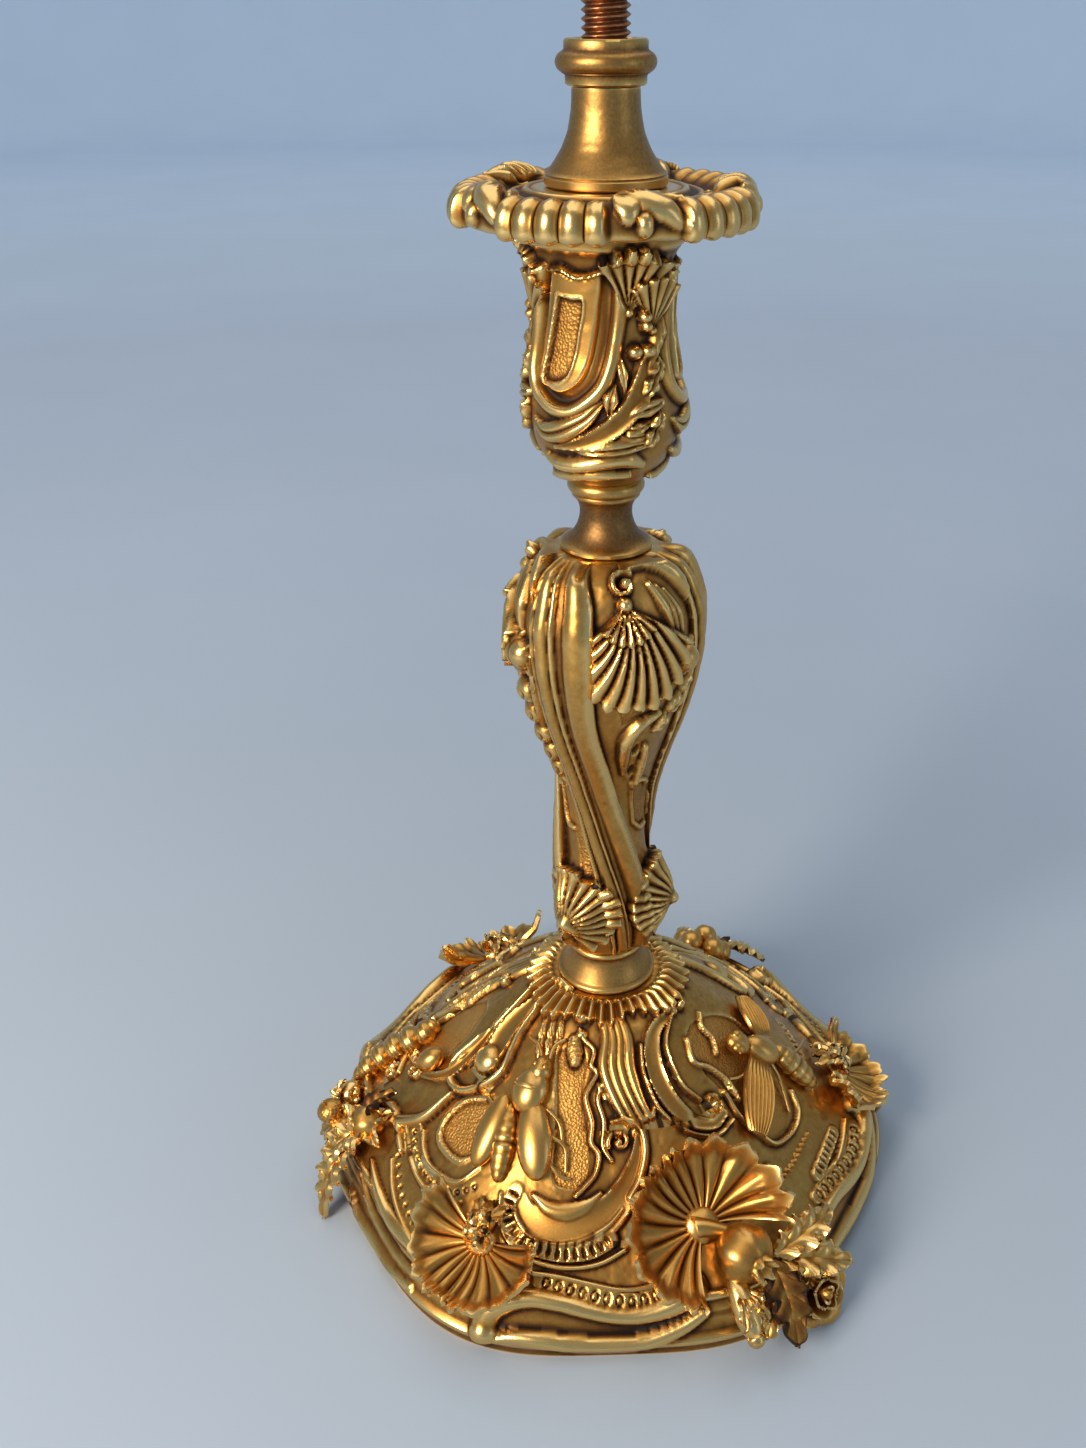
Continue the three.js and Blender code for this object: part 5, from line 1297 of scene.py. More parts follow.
def dressCup(r):
    for k in cup["panels"]:
        cupPanel(r, k)
        cupLeaves(r, k)
    t = (r["points"][:, 2] - cup["bottom"]) / (cup["top"] - cup["bottom"])
    r["height"] *= smoothStep((1.0 - t) * 30)        # the relief dies out under the pan
    roughen(r, cup["skin"])


def makeCup():
    columns, rows = [int(n * fine) for n in cup["grid"]]
    heights = np.linspace(cup["bottom"], cup["top"], rows)
    floor = cup["top"] - cup["boreDeep"]
    section = [(h, onFace, 1.0) for h in heights]
    section += [(cup["top"], 17.0, 0.0), (cup["top"], cup["bore"], 0.0),
            (cup["top"] - 15, cup["bore"], 0.0),
                (floor, cup["bore"], 0.0), (floor, 9.5, 0.0), (floor, cup["hole"], 0.0),
            (cup["bottom"] + 6, cup["hole"], 0.0),
                (cup["bottom"], cup["hole"], 0.0), (cup["bottom"], 8.2, 0.0), (heights[0], onFace, 1.0)]
    piece, angle, row = ringGrid("candle_cup_body", columns, len(section) - 1)
    z, fixed, carved = np.array(section)[row].T
    radius = np.where(fixed == onFace, cupRadius(angle, z), fixed)
    points = np.stack([radius * np.cos(angle), radius * np.sin(angle), z], axis=1)
    normals = normalsOf(cupPoint, angle, np.clip(z, cup["bottom"] + 0.5, cup["top"] - 0.5), 0.004, 0.15)
    carvePiece(piece, points, normals, carved, dressCup, "candle_cup", cup["bottom"], cup["top"],
               reach=1.3, gain=1.2)


makeCup()
print("candle cup carved")


# the drip pan
pan = {
    "bottom": 292.3,
    # radius and height, from the cup outwards
    "under": [(20.5, 0.0), (25.3, 2.6), (30.0, 1.8), (33.6, 1.0)],
    "edge": [(33.6, 1.0), (35.6, 1.0), (36.6, 2.2), (36.7, 4.6), (35.9, 6.8), (34.4, 8.2), (32.0, 8.9),
        (29.0, 8.2),
             (26.0, 6.5), (22.0, 7.0), (17.6, 8.2), (15.6, 8.4)],
    "hub": [(13.0, 8.4), (11.2, 8.4), (11.2, 4.0), (11.2, 0.0), (15.0, 0.0), (20.5, 0.0)],
    "firstGroup": -111.0, "groups": 5, "podPitch": .125, "podDeep": 1.7, "filletDeep": 0.55,
       "drawnIn": 0.055,
    # radius, height, half width, depth of relief
    "rings": [(19.0, 7.9, 0.8, 0.7), (22.6, 7.0, 0.6, 0.6)],
    "skin": [(0.07, 2.0, 6)],
}


def panGroup(angle):        # place within a group, from -0.5 to 0.5 about its middle
    g = (np.degrees(angle) - pan["firstGroup"]) / (360 / pan["groups"])
    return g - np.round(g)


def panPlace(degrees, radius, height):
    a = math.radians(degrees)
    return np.array([radius * math.cos(a), radius * math.sin(a), pan["bottom"] + height])


def dressPan(r):
    for k in range(pan["groups"]):
        middle = pan["firstGroup"] + 360 / pan["groups"] * (k + 0.5)

        # a line over the rim: degrees from the middle of the gap, radius, height
        def across(*places):
            return smoothLine([panPlace(middle + d, radius, height) for d, radius, height in places])

        # the long S-leaf that crosses the gap between two groups, and its lobes
        stroke(r, across((-18, 24, 7.2), (-9, 27, 7.8), (-1, 31, 9.0), (7, 34.5, 8.0), (13, 36.4, 4.0)),
               [1.4, 3.0, 3.8, 3.6, 2.0], [1.4, 2.6, 2.8, 2.4, 1.4])
        stroke(r, across((2, 24, 7.0), (9, 28, 8.0), (15, 32, 9.3)), [0.8, 1.6, 0.8], [1.2, 2.0, 1.0])
        for d, radius, height, size in ((-7, 34.3, 7.4, 3.0), (-1, 36.0, 4.6, 2.6),
                (3.5, 31.5, 9.4, 1.7)):
            bead(r, panPlace(middle + d, radius, height), upright, (size, size * 0.8), 2.2)
        for i in range(3):
            d = 3.4 * i
            groove(r, across((d - 10, 26, 7.4), (d - 4, 31, 9.2), (d + 1, 35.4, 8.0)), 0.5, 0.8)
    for radius, height, width, rise in pan["rings"]:
        stroke(r, np.array([panPlace(a, radius, height) for a in np.linspace(0, 360, 200)]), width,
               rise)
    roughen(r, pan["skin"])


def makePan():
    p = pan
    under, edge = [smoothLine([(*pair, 0) for pair in p[part]], step)
                   for part, step in (("under", 0.4), ("edge", 0.42))]
    hub = np.array([(*pair, 0) for pair in p["hub"]])
    line = np.vstack([under[:-1], edge, hub])
    worked = np.concatenate([np.zeros(len(under) - 1), np.ones(len(edge)), np.zeros(len(hub))])
    piece, angle, row = ringGrid("drip_pan", int(720 * fine), len(line) - 1)
    r0, z0 = line[row, 0], line[row, 1]
    pod = panGroup(angle) / p["podPitch"]
    inPods = smoothStep((2.5 - np.abs(pod)) * 3)
    podWave = np.abs(np.cos(pod * math.pi)) ** 0.6
    outward = smoothStep((r0 - 24) / 9)
    # pods swell out and up over the edge, with a thin fillet in the groove between two
    between = np.exp(-((pod % 1 - 0.5) / 0.10) ** 2)
    lift = (p["podDeep"] * (podWave - 0.55) + p["filletDeep"] * between) * inPods * outward
    # between the groups the edge draws in, where leaves swirl
    radius = r0 * (1 - p["drawnIn"] * (1 - inPods) * outward)
    points = np.stack([radius * np.cos(angle), radius * np.sin(angle), p["bottom"] + z0], axis=1)
    tangent = np.gradient(line[:, :2], axis=0)
    nr, nz = tangent[row, 1], -tangent[row, 0]
    long = np.maximum(np.hypot(nr, nz), 1e-9)
    normals = np.stack([nr / long * np.cos(angle), nr / long * np.sin(angle), nz / long], axis=1)
    points += normals * (lift * worked[row])[:, None]
    carvePiece(piece, points, normals, worked[row], dressPan, "bobeche", p["bottom"],
               marked=np.ones(len(points)), reach=1.6, gain=1.6, level=0.53)


makePan()
print("drip pan cast")


# shapes used by the ornaments
def sheet(columns, rows, shapeOf, thickness):        # a bent sheet; shapeOf(across, along) gives mm
    deselectAll()
    bpy.ops.mesh.primitive_grid_add(x_subdivisions=columns, y_subdivisions=rows, size=2)
    piece = bpy.context.active_object
    flat = getPoints(piece) * mm
    setPoints(piece, shapeOf((flat[:, 0] + 1) / 2, (flat[:, 1] + 1) / 2))
    solid = piece.modifiers.new("thickness", "SOLIDIFY")
    solid.thickness = thickness * mm
    solid.offset = -1
    finishModifiers(piece)
    return piece


def roundForm(segments, rings, shapeOf):        # a ball reshaped; shapeOf(unit directions) gives mm
    deselectAll()
    bpy.ops.mesh.primitive_uv_sphere_add(segments=segments, ring_count=rings, radius=1)
    piece = bpy.context.active_object
    setPoints(piece, shapeOf(getPoints(piece) * mm))
    return piece


def place(piece, frameOf, swing=0.0, shift=(0, 0, 0), tilt=0.0):
    # turns a piece about its own z by swing, tips it about x by tilt, and sets it in a frame
    p = getPoints(piece)
    t = math.radians(tilt)
    p = p @ np.array([[1, 0, 0], [0, math.cos(t), math.sin(t)], [0, -math.sin(t), math.cos(t)]])
    s = math.radians(swing)
    p = p @ np.array([[math.cos(s), math.sin(s), 0], [-math.sin(s), math.cos(s), 0], [0, 0, 1]])
    p = p + np.array(shift, float)
    origin, side, uphill, out = frameOf
    setPoints(piece, origin + p[:, :1] * side + p[:, 1:2] * uphill + p[:, 2:] * out)
    return piece


def domeUnder(point):        # the dome's outward direction below a point
    angle = np.array([math.atan2(point[1], point[0])])
    share = np.array([min(math.hypot(point[0], point[1]) / baseOutline(angle)[0], 0.99)])
    return domeNormals(angle, share)[0]


# a frame on the dome whose y runs from one pixel's place to another's
def framePixels(start, end, lift):
    a, b = seenOn(domeLevel, [start, end])
    long = float(np.linalg.norm(b - a))
    ahead = (b - a) / long
    side = np.cross(ahead, domeUnder((a + b) / 2))
    side /= np.linalg.norm(side)
    out = np.cross(side, ahead)
    return ((a + b) / 2 + out * lift, side, ahead, out), long


def axisFrame(centre, axis, hint=(0, 0, 1)):        # a frame whose y is an axis
    y = np.array(axis, float)
    y /= np.linalg.norm(y)
    x = np.cross(y, np.array(hint, float))
    x /= np.linalg.norm(x)
    return np.array(centre, float), x, y, np.cross(x, y)


def pod(length, width, height, rings=0, ringDepth=0.0, taper=0.0):
    # a long ball along y, with rings cut round it and one end thinner
    def shapeOf(u):
        along = u[:, 2]
        r = 1 - taper * along * 0.5
        if rings:
            r = r + ringDepth * (np.abs(np.sin((along + 1) / 2 * rings * math.pi)) ** 0.5 - 1)
        return np.stack([u[:, 0] * r * width / 2, along * length / 2, u[:, 1] * r * height / 2], axis=1)
    return roundForm(28, max(22, rings * 5), shapeOf)


def leafSheet(length, width, thickness=1.5, rise=3.0, droop=0.0, teeth=5, toothDeep=0.22, ruffle=0.5,
              veinDeep=0.45):
    # a leaf lying along -y: toothed edge, sunk midrib, veins that run out to the teeth
    def shapeOf(across, along):
        side = 2 * across - 1
        body = np.sin(math.pi * (0.10 + 0.885 * along)) ** 0.8
        tooth = (along * teeth + 0.15) % 1.0
        half = width / 2 * body * (1 - toothDeep * (1 - tooth) * smoothStep(along * 5))
        x = side * half
        arch = rise * np.sin(math.pi * (0.15 + 0.7 * along)) - droop * along ** 3
        cupped = 0.9 * (side ** 2) * body - 0.6 * np.exp(-(x / 0.9) ** 2) * (1 - along * 0.5)
        veins = (veinDeep * np.cos((along * teeth - np.abs(side) * 0.9) * turn)
                 * np.minimum(np.abs(side) * 2, 1) * body)
        wave = ruffle * np.sin(along * teeth * turn) * np.abs(side) ** 2 * np.sign(side) * body
        return np.stack([x, -along * length, arch + cupped + veins + wave + thickness], axis=1)
    return sheet(26, 16 * max(teeth, 3), shapeOf, thickness)


def leaves(frameOf, table):        # each row: length, width, swing, shift and what shapes that leaf
    return [place(leafSheet(length, width, **shape), frameOf, swing, shift)
            for length, width, swing, shift, shape in table]


def scallop(s):        # a dished shell with ribs that fork to a frilled edge
    def shapeOf(across, along):
        bend = 11 * along ** 1.5 * np.sin(across * 11 + 0.6)
        angle = np.radians(s["from"] + (s["to"] - s["from"]) * across + bend)
        rib = 2 * np.abs(np.cos(across * s["ribs"] * math.pi)) ** 0.75 - 1
        thread = np.cos(across * s["ribs"] * 2 * turn + 1.0) * smoothStep((along - 0.55) * 3)
        share = s["root"] + (1 - s["root"]) * along
        sway = s["sway"] * np.sin(across * 9) * along
        frill = 1 + (s["frill"] * rib + 0.02 * thread) * along ** 2 + sway
        reach = s["radius"] * share * frill
        dish = s["rise"] * along ** 1.9 + s["lip"] * smoothStep((along - 0.82) * 5.5)
        flutes = s["ribDeep"] * (np.abs(rib) ** 0.7 * np.sign(rib) * (0.25 + along) + 0.3 * thread)
        uneven = (1.2 * np.sin(across * 21 + 1) + 0.7 * np.sin(across * 37)) * along ** 2
        height = s["lift"] + dish + flutes + uneven
        return np.stack([reach * np.cos(angle), reach * np.sin(angle), height], axis=1)
    return sheet(s["ribs"] * 12, 34, shapeOf, s["thickness"])


def ornament(parts, name, node, reach=0.9, lowest=0.25):
    piece = joinPieces(parts, name)
    p = getPoints(piece)
    p[:, 2] = np.maximum(p[:, 2], lowest)        # nothing of an ornament goes below the foot
    setPoints(piece, p)
    pick(piece)
    bpy.ops.object.mode_set(mode="EDIT")
    bpy.ops.mesh.select_all(action="SELECT")
    bpy.ops.mesh.normals_make_consistent(inside=False)
    bpy.ops.object.mode_set(mode="OBJECT")
    finishPiece(piece, giltBronze, "gilt_bronze", [node], reach=reach, gain=0.6)


def boxCentre(node):        # the middle of a CAD node, in mm
    lowest, highest = [np.array(v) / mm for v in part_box(node)]
    return (lowest + highest) / 2


# the shell corner at the front right
fanShell = {
    "at": (.78, -67), "radius": 21.5, "rise": 7.6, "lift": 2.6, "ribs": 15, "from": 242, "to": -8,
        "root": .12,
    "ribDeep": 1.15, "thickness": 1.5, "lip": 2.0, "sway": .07, "frill": .06,
    "rootDisc": (11, 11, 5.5), "lipThick": 1.4,
}


def lipShape(across, along):        # the curled lip over the shell's root
    return np.stack([-3 + 12.5 * along,
                     -6.5 * along ** 1.4 + 3.2 * np.cos(across * math.pi) * (1 - 0.4 * along),
                     3.4 + 3.6 * np.sin(across * math.pi) * (1 - 0.5 * along) + 2.0 * along], axis=1)


at = domeFrame(*fanShell["at"])
ornament([place(scallop(fanShell), at), place(pod(*fanShell["rootDisc"]), at, shift=(0, 0, 1.8)),
          place(sheet(14, 30, lipShape, fanShell["lipThick"]), at)], "fan_shell_relief", "fan_shell",
        1.6)

# a fruit's node, shift, the way its eye looks, radius, length, crown, teeth of the crown
fruits = {
    "pomegranate_fruit": ("pomegranate", (0, 0, 0), (.60, -.79, .12), 8.3, 0.98, 2.0, 6),
    "round_fruit_ball": ("round_fruit", (0.6, 0, 1.0), (-.9, -.3, .15), 6.1, 0.95, 0.9, 5),
}


def makeFruit(name, reach):        # a round fruit whose dry flower is at its eye
    node, shift, axis, radius, flat, crown, teeth = fruits[name]

    def shapeOf(u):
        polar = np.arccos(np.clip(u[:, 2], -1, 1))
        spin = np.arctan2(u[:, 1], u[:, 0])
        r = radius * (1 - 0.03 * np.cos(6 * spin) * np.sin(polar) ** 2)
        eye = -0.22 * radius * np.exp(-(polar / 0.2) ** 2)
        ring = crown * np.exp(-((polar - 0.34) / 0.085) ** 2) * (1 + 0.55 * np.cos(teeth * spin))
        r = r + eye + ring
        return np.stack([r * u[:, 0], r * u[:, 2] * flat, r * u[:, 1]], axis=1)
    ball = place(roundForm(96, 72, shapeOf), axisFrame(boxCentre(node) + shift, axis))
    ornament([ball], name, node, reach)


makeFruit("pomegranate_fruit", 1.4)

rose = {
    "at": (.99, -50), "radius": 7.4, "height": 8.0, "out": 3.6, "up": 0.8, "facing": -52,
        "petalThick": 0.75,
    # each ring of petals, from the outside in: how many, radius, height, flare, first angle
    "rings": [(5, 1.0, .62, 2.6, 0.0), (5, .78, .82, 1.5, .6), (4, .52, 1.0, .7, .2),
        (2, .3, 1.04, .1, .8)],
}


def petalShape(r, h, flare, middle, span):
    def shapeOf(u, v):
        wide = np.sin(np.clip(v * 0.78 + 0.2, 0, 1) * math.pi) ** 0.5
        angle = middle + (u - .5) * span * (0.45 + 0.55 * wide)
        reach = (rose["radius"] * r * (0.32 + 0.68 * np.sin(np.minimum(v * 1.15, 1) * math.pi / 2))
                 + flare * v ** 3 + 0.35 * np.cos((u - .5) * turn) * v)
        tall = rose["height"] * h * v * (1 - 0.16 * (2 * u - 1) ** 2) - flare * 0.8 * v ** 4
        return np.stack([reach * np.cos(angle), reach * np.sin(angle), tall], axis=1)
    return shapeOf


def makeRose():        # it faces outwards and a little up
    origin, side, uphill, out = domeFrame(*rose["at"])
    facing = math.radians(rose["facing"])
    outward = np.array([math.cos(facing) * .8, math.sin(facing) * .8, .45])
    outward /= np.linalg.norm(outward)
    across = np.array([-math.sin(facing), math.cos(facing), 0])
    frameOf = (origin + out * rose["out"] + upright * rose["up"], across, np.cross(outward, across),
            outward)
    parts = []
    for count, r, h, flare, first in rose["rings"]:
        for k in range(count):
            shapeOf = petalShape(r, h, flare, first + k * turn / count, turn / count * 1.35)
            parts.append(place(sheet(14, 16, shapeOf, rose["petalThick"]), frameOf))
    radius, height = rose["radius"], rose["height"]
    heart = pod(height * 1.5, radius * .7, radius * .7)
    ornament(parts + [place(heart, frameOf, tilt=90, shift=(0, 0, height * .35))], "rose_flower",
            "rose", 0.8)


makeRose()

frontSpray = {
    "at": (.93, -55.6),
    "leaves": [(23, 14, -12, (-2, 1, 1.5), {"rise": 3.6, "droop": 1.0, "teeth": 4, "veinDeep": .5}),
               (21, 13, -42, (0, 0, 0), {"rise": 3.6, "ruffle": 1.0}),
               (13, 12, 34, (2, 0, -1), {"rise": 2.0, "ruffle": .8}),
               (24, 12, 62, (0, 1, 1), {"rise": 4.5, "teeth": 4, "ruffle": 1.4}),
               (23, 11, 98, (0, 2, 2), {"rise": 5.5, "teeth": 4, "ruffle": 1.4})],
    "budSwing": -8,
    # the bud and its tip: length, width, height, rings, their depth, taper; then the shift
    "bud": [((20, 7.6, 7.6, 0, 0.0, .25), (-15.5, -5.0, 3.6)),
        ((5, 5.2, 5.2, 3, .12), (-16.9, -14.2, 3.6))],
    "sepals": [(11, 4.2, -8 + d, (-14.5 + d * .06, -1.5, 3.6),
                {"thickness": .9, "rise": 1.6, "teeth": 2, "toothDeep": .1,
        "ruffle": .2}) for d in (-16, 0, 16)],
}
at = domeFrame(*frontSpray["at"])
parts = leaves(at, frontSpray["leaves"])
parts += [place(pod(*size), at, frontSpray["budSwing"], shift) for size, shift in frontSpray["bud"]]
ornament(parts + leaves(at, frontSpray["sepals"]), "front_leaves", "front_leaf_spray")
print("front corner made")

# the nut corner at the left
makeFruit("round_fruit_ball", 1.2)
calyxLeaf = {"thickness": 1.0, "rise": 2.0, "teeth": 3, "toothDeep": .12}
nutSpray = {
    "at": (.865, -165.5),
    "calyx": [(11, 6, swing, (0, 0, 0), calyxLeaf) for swing in (35, 100, 160, 225, 290)],
    "hanging": [
        (31, 13.5, 26, (0, 0, 0),
         {"thickness": 1.4, "rise": 3.6, "droop": 7, "teeth": 6, "toothDeep": .32, "ruffle": 1.0}),
        (22, 12, 2, (2, 0, 0), {"thickness": 1.4, "rise": 4.6, "droop": 5, "toothDeep": .32,
        "ruffle": 1.0}),
        (20, 12.5, -33, (0, 0, 0), {"thickness": 1.3, "rise": 3.6, "toothDeep": .3, "ruffle": .8}),
        (15, 8, 172, (-2, 0, 1), {"thickness": 1.3, "rise": 4.0, "teeth": 4, "toothDeep": .25,
        "ruffle": .9})],
}
at = domeFrame(*nutSpray["at"])
ornament(leaves(at, nutSpray["calyx"] + nutSpray["hanging"]), "left_leaves", "left_leaf_spray")

acorn = {"shift": (1.8, 0, 0), "axis": (-.35, -.15, .92), "nut": (11.4, 6.8, 6.8, 0, 0.0, -.15),
         "stalk": (3.4, 1.4, 1.4), "capRadius": 4.1, "capHeight": 3.2}


def capShape(u):        # the acorn's cup, knobbled in rows
    spin = np.arctan2(u[:, 1], u[:, 0])
    knobs = 0.06 * np.cos(spin * 14) * np.cos(u[:, 2] * 16)
    wide = acorn["capRadius"] * (1 + knobs)
    return np.stack([u[:, 0] * wide, u[:, 2] * acorn["capHeight"] + 3.3, u[:, 1] * wide], axis=1)


at = axisFrame(boxCentre("acorn") + acorn["shift"], acorn["axis"], (1, 0, 0))
ornament([place(pod(*acorn["nut"]), at, shift=(0, -.8, 0)), place(roundForm(56, 36, capShape), at),
          place(pod(*acorn["stalk"]), at, shift=(0, 6.6, 0))], "acorn_nut", "acorn", 0.8)

hazelnut = {"axis": (.2, .5, .8), "nut": (9.2, 8.0, 7.6, 0, 0.0, .2),
            "huskAngles": (0, 1.26, 2.5, 3.77, 5.0), "husk": (8, 5.2, 0, (0, 0, 1.6),
                                                              {"thickness": .8, "rise": 2.2,
        "teeth": 3, "toothDeep": .2, "ruffle": .4})}
at = axisFrame(boxCentre("hazelnut"), hazelnut["axis"], (1, 0, 0))
parts = [place(pod(*hazelnut["nut"]), at)]
origin, across, ahead, out = at
for a in hazelnut["huskAngles"]:        # the torn husk holds the nut from below
    frameOf = (origin - ahead * 4.4, math.cos(a) * across + math.sin(a) * out, -ahead,
               -math.sin(a) * across + math.cos(a) * out)
    parts += leaves(frameOf, [hazelnut["husk"]])
ornament(parts, "hazelnut_ball", "hazelnut", 0.8)
print("nut corner made")

# the berry corner at the back: place of each berry and its radius
berryCorner = {
    "at": (.82, 62), "leavesAt": (.9, 62),
    "berries": [(7 * math.cos(k * turn / 5), 7 * math.sin(k * turn / 5), 2.7, 4.4) for k in range(5)]
    + [(0, 0, 6.4, 4.4), (1, -10.5, 1.6, 3.2)],
    "leaves": [(22.5, 13, swing, (0, 0, 0), {"rise": 3.4, "ruffle": 1.1}) for swing in (-52, -18, 14,
        52)],
}


def berry(x, y, z, radius):
    def shapeOf(u):
        polar = np.arccos(np.clip(u[:, 2], -1, 1))
        return u * (radius * (1 - .12 * np.exp(-(polar / .25) ** 2)))[:, None]
    return place(roundForm(28, 20, shapeOf), domeFrame(*berryCorner["at"]), 30 * x, (x, y, z),
            12 * y / 7)


ornament([berry(*row) for row in berryCorner["berries"]], "berry_cluster", "berry_bunch", 1.0)
ornament(leaves(domeFrame(*berryCorner["leavesAt"]), berryCorner["leaves"]), "back_leaves",
        "back_leaf_spray")

# three side shells with curled leaves over them; the right one is smaller and flatter
sideShell = {"share": .835, "corners": (-118, 2, 122), "radius": (18.3, 16.4, 18.3),
        "rise": (5.2, 3.4, 5.2),
             "lift": 2.0, "ribs": 13, "from": 372, "to": 150, "root": .14, "ribDeep": .8,
        "thickness": 1.4,
             "lip": 1.6, "sway": .05, "frill": .035, "hinge": (8.5, 10, 6)}
curlLeaf = {"thickness": 1.2, "rise": 4.2, "droop": 3.0, "teeth": 4, "toothDeep": .2, "ruffle": .9}
for i, corner in enumerate(sideShell["corners"]):
    at = domeFrame(sideShell["share"], corner)
    thisShell = {**sideShell, "radius": sideShell["radius"][i], "rise": sideShell["rise"][i]}
    parts = [place(scallop(thisShell), at), place(pod(*sideShell["hinge"]), at, shift=(0, 0, 1.6))]
    parts += leaves(at, [(size, 7.5, swing, (x, -1, 1.2), curlLeaf)
                         for swing, x, size in ((150, -3, 14), (182, 0, 12), (212, 3, 14))])
    ornament(parts, f"side_shell_relief_{i + 1}", f"side_shell_{i + 1}", 1.1)
print("side shells made")

# the insects: each pod runs from one pixel to another, then width, height, lift off the dome, rings,
# their depth and taper; the limbs follow pixels, lifted less at each
beetle = {        # its wing cases are open over a ringed body
    "pods": {"abdomen": ((515, 1104), (500, 1184), 7.4, 6.4, 2.2, 8, .16),
             "rightCase": ((535, 1100), (539, 1182), 10.8, 7.4, 3.0, 0, 0.0, -.12),
             "leftCase": ((512, 1096), (480, 1168), 9.0, 6.2, 2.8, 0, 0.0, -.1),
             "thorax": ((542, 1070), (526, 1116), 11.0, 8.0, 3.0),
             "collar": ((536, 1084), (532, 1096), 10.2, 8.4, 3.2),
             "head": ((550, 1058), (538, 1090), 6.6, 6.2, 3.0, 3, .1),
             "leftEye": ((543, 1064), (542, 1071), 2.2, 2.2, 5.0),
             "rightEye": ((551, 1067), (550, 1074), 2.2, 2.2, 5.0)},
    "wings": [],
    "limbs": [[(549, 1110), (560, 1124), (563, 1146)], [(551, 1136), (565, 1148), (566, 1172)],
              [(548, 1160), (560, 1176), (570, 1180)], [(509, 1102), (498, 1106), (490, 1098)],
              [(494, 1140), (484, 1152), (482, 1170)], [(546, 1062), (541, 1046), (532, 1038)],
              [(552, 1062), (556, 1048), (566, 1040)]],
    "limbLift": (2.4, .9), "limbThick": .62,
}
fly = {        # its ribbed wings are spread
    "pods": {"abdomen": ((766, 1050), (809, 1090), 8.4, 7.2, 3.0, 6, .14, .1),
             "thorax": ((738, 1046), (770, 1062), 8.8, 7.8, 3.4),
             "head": ((720, 1042), (742, 1052), 7.2, 6.4, 3.2),
             "upperEye": ((722, 1040), (733, 1043), 3.6, 3.8, 4.6),
             "lowerEye": ((723, 1052), (735, 1056), 3.6, 3.8, 4.6)},
    "wings": [((752, 1060), (751, 1136), 11.5, 3.6), ((758, 1044), (736, 1002), 11.0, 3.6)],
    "limbs": [[(764, 1066), (776, 1082), (788, 1112)], [(750, 1064), (738, 1078), (728, 1080)],
              [(772, 1058), (792, 1054), (802, 1042)]],
    "limbLift": (3.0, 1.2), "limbThick": .6,
}
larva = {        # fat ribbed segments, with a smooth berry below them
    "pods": {**{i: ((x - 9, y + 7), (x + 9, y - 7), size, size * .92, 2.4, 5, .09)
                for i, (x, y, size) in enumerate([(374, 1072, 8.4), (388, 1062, 10.2),
        (402, 1053, 11.0),
                                                  (417, 1045, 10.6), (431, 1037, 8.6)])},
             "head": ((434, 1036), (442, 1026), 6.4, 6.0, 2.6),
             "tail": ((357, 1080), (376, 1066), 5.0, 4.6, 1.6),
             "berry": ((424, 1070), (448, 1056), 7.4, 6.8, 2.6)},
    "wings": [], "limbs": [],
}


def limb(points, radius):        # a leg or feeler along a few places
    line = smoothLine(points, 0.5)
    deselectAll()
    bpy.ops.curve.primitive_nurbs_path_add()
    curve = bpy.context.active_object
    curve.data.splines.remove(curve.data.splines[0])
    spline = curve.data.splines.new("POLY")
    spline.points.add(len(line) - 1)
    for point, co in zip(spline.points, line):
        point.co = (*(co * mm), 1)
    curve.data.bevel_depth = radius * mm
    curve.data.bevel_resolution = 2
    curve.data.use_fill_caps = True
    pick(curve)
    bpy.ops.object.convert(target="MESH")
    return bpy.context.active_object


def wing(root, tip, width, lift, ribs=7):
    at, long = framePixels(root, tip, lift)

    def shapeOf(u, v):
        side = 2 * u - 1
        half = width / 2 * np.sin(math.pi * (0.12 + 0.78 * v)) ** 0.6
        rib = 0.34 * np.cos(u * ribs * turn) * smoothStep(v * 3)
        return np.stack([side * half, (v - .5) * long,
                0.8 * np.sin(v * math.pi) + rib - 0.5 * side ** 2], axis=1)
    return place(sheet(ribs * 8, 30, shapeOf, 1.1), at)


def makeInsect(name, s):
    parts = []
    for start, end, width, height, lift, *more in s["pods"].values():
        at, long = framePixels(start, end, lift)
        parts.append(place(pod(long, width, height, *more), at))
    parts += [wing(*values) for values in s["wings"]]
    for path in s["limbs"]:
        places = seenOn(domeLevel, path)
        lift, fall = s["limbLift"]
        parts.append(limb([p + domeUnder(p) * (lift - fall * i) for i, p in enumerate(places)],
                s["limbThick"]))
    ornament(parts, name + "_figure", name, 0.8)


for name, values in (("beetle", beetle), ("fly", fly), ("larva", larva)):
    makeInsect(name, values)
print("insects made")


# turned brass pieces and the rod
def arc(centreR, centreZ, radiusR, radiusZ, fromDegrees, toDegrees):
    return [(centreR + radiusR * math.cos(math.radians(a)),
            centreZ + radiusZ * math.sin(math.radians(a)))
            for a in np.linspace(fromDegrees, toDegrees, 12)]


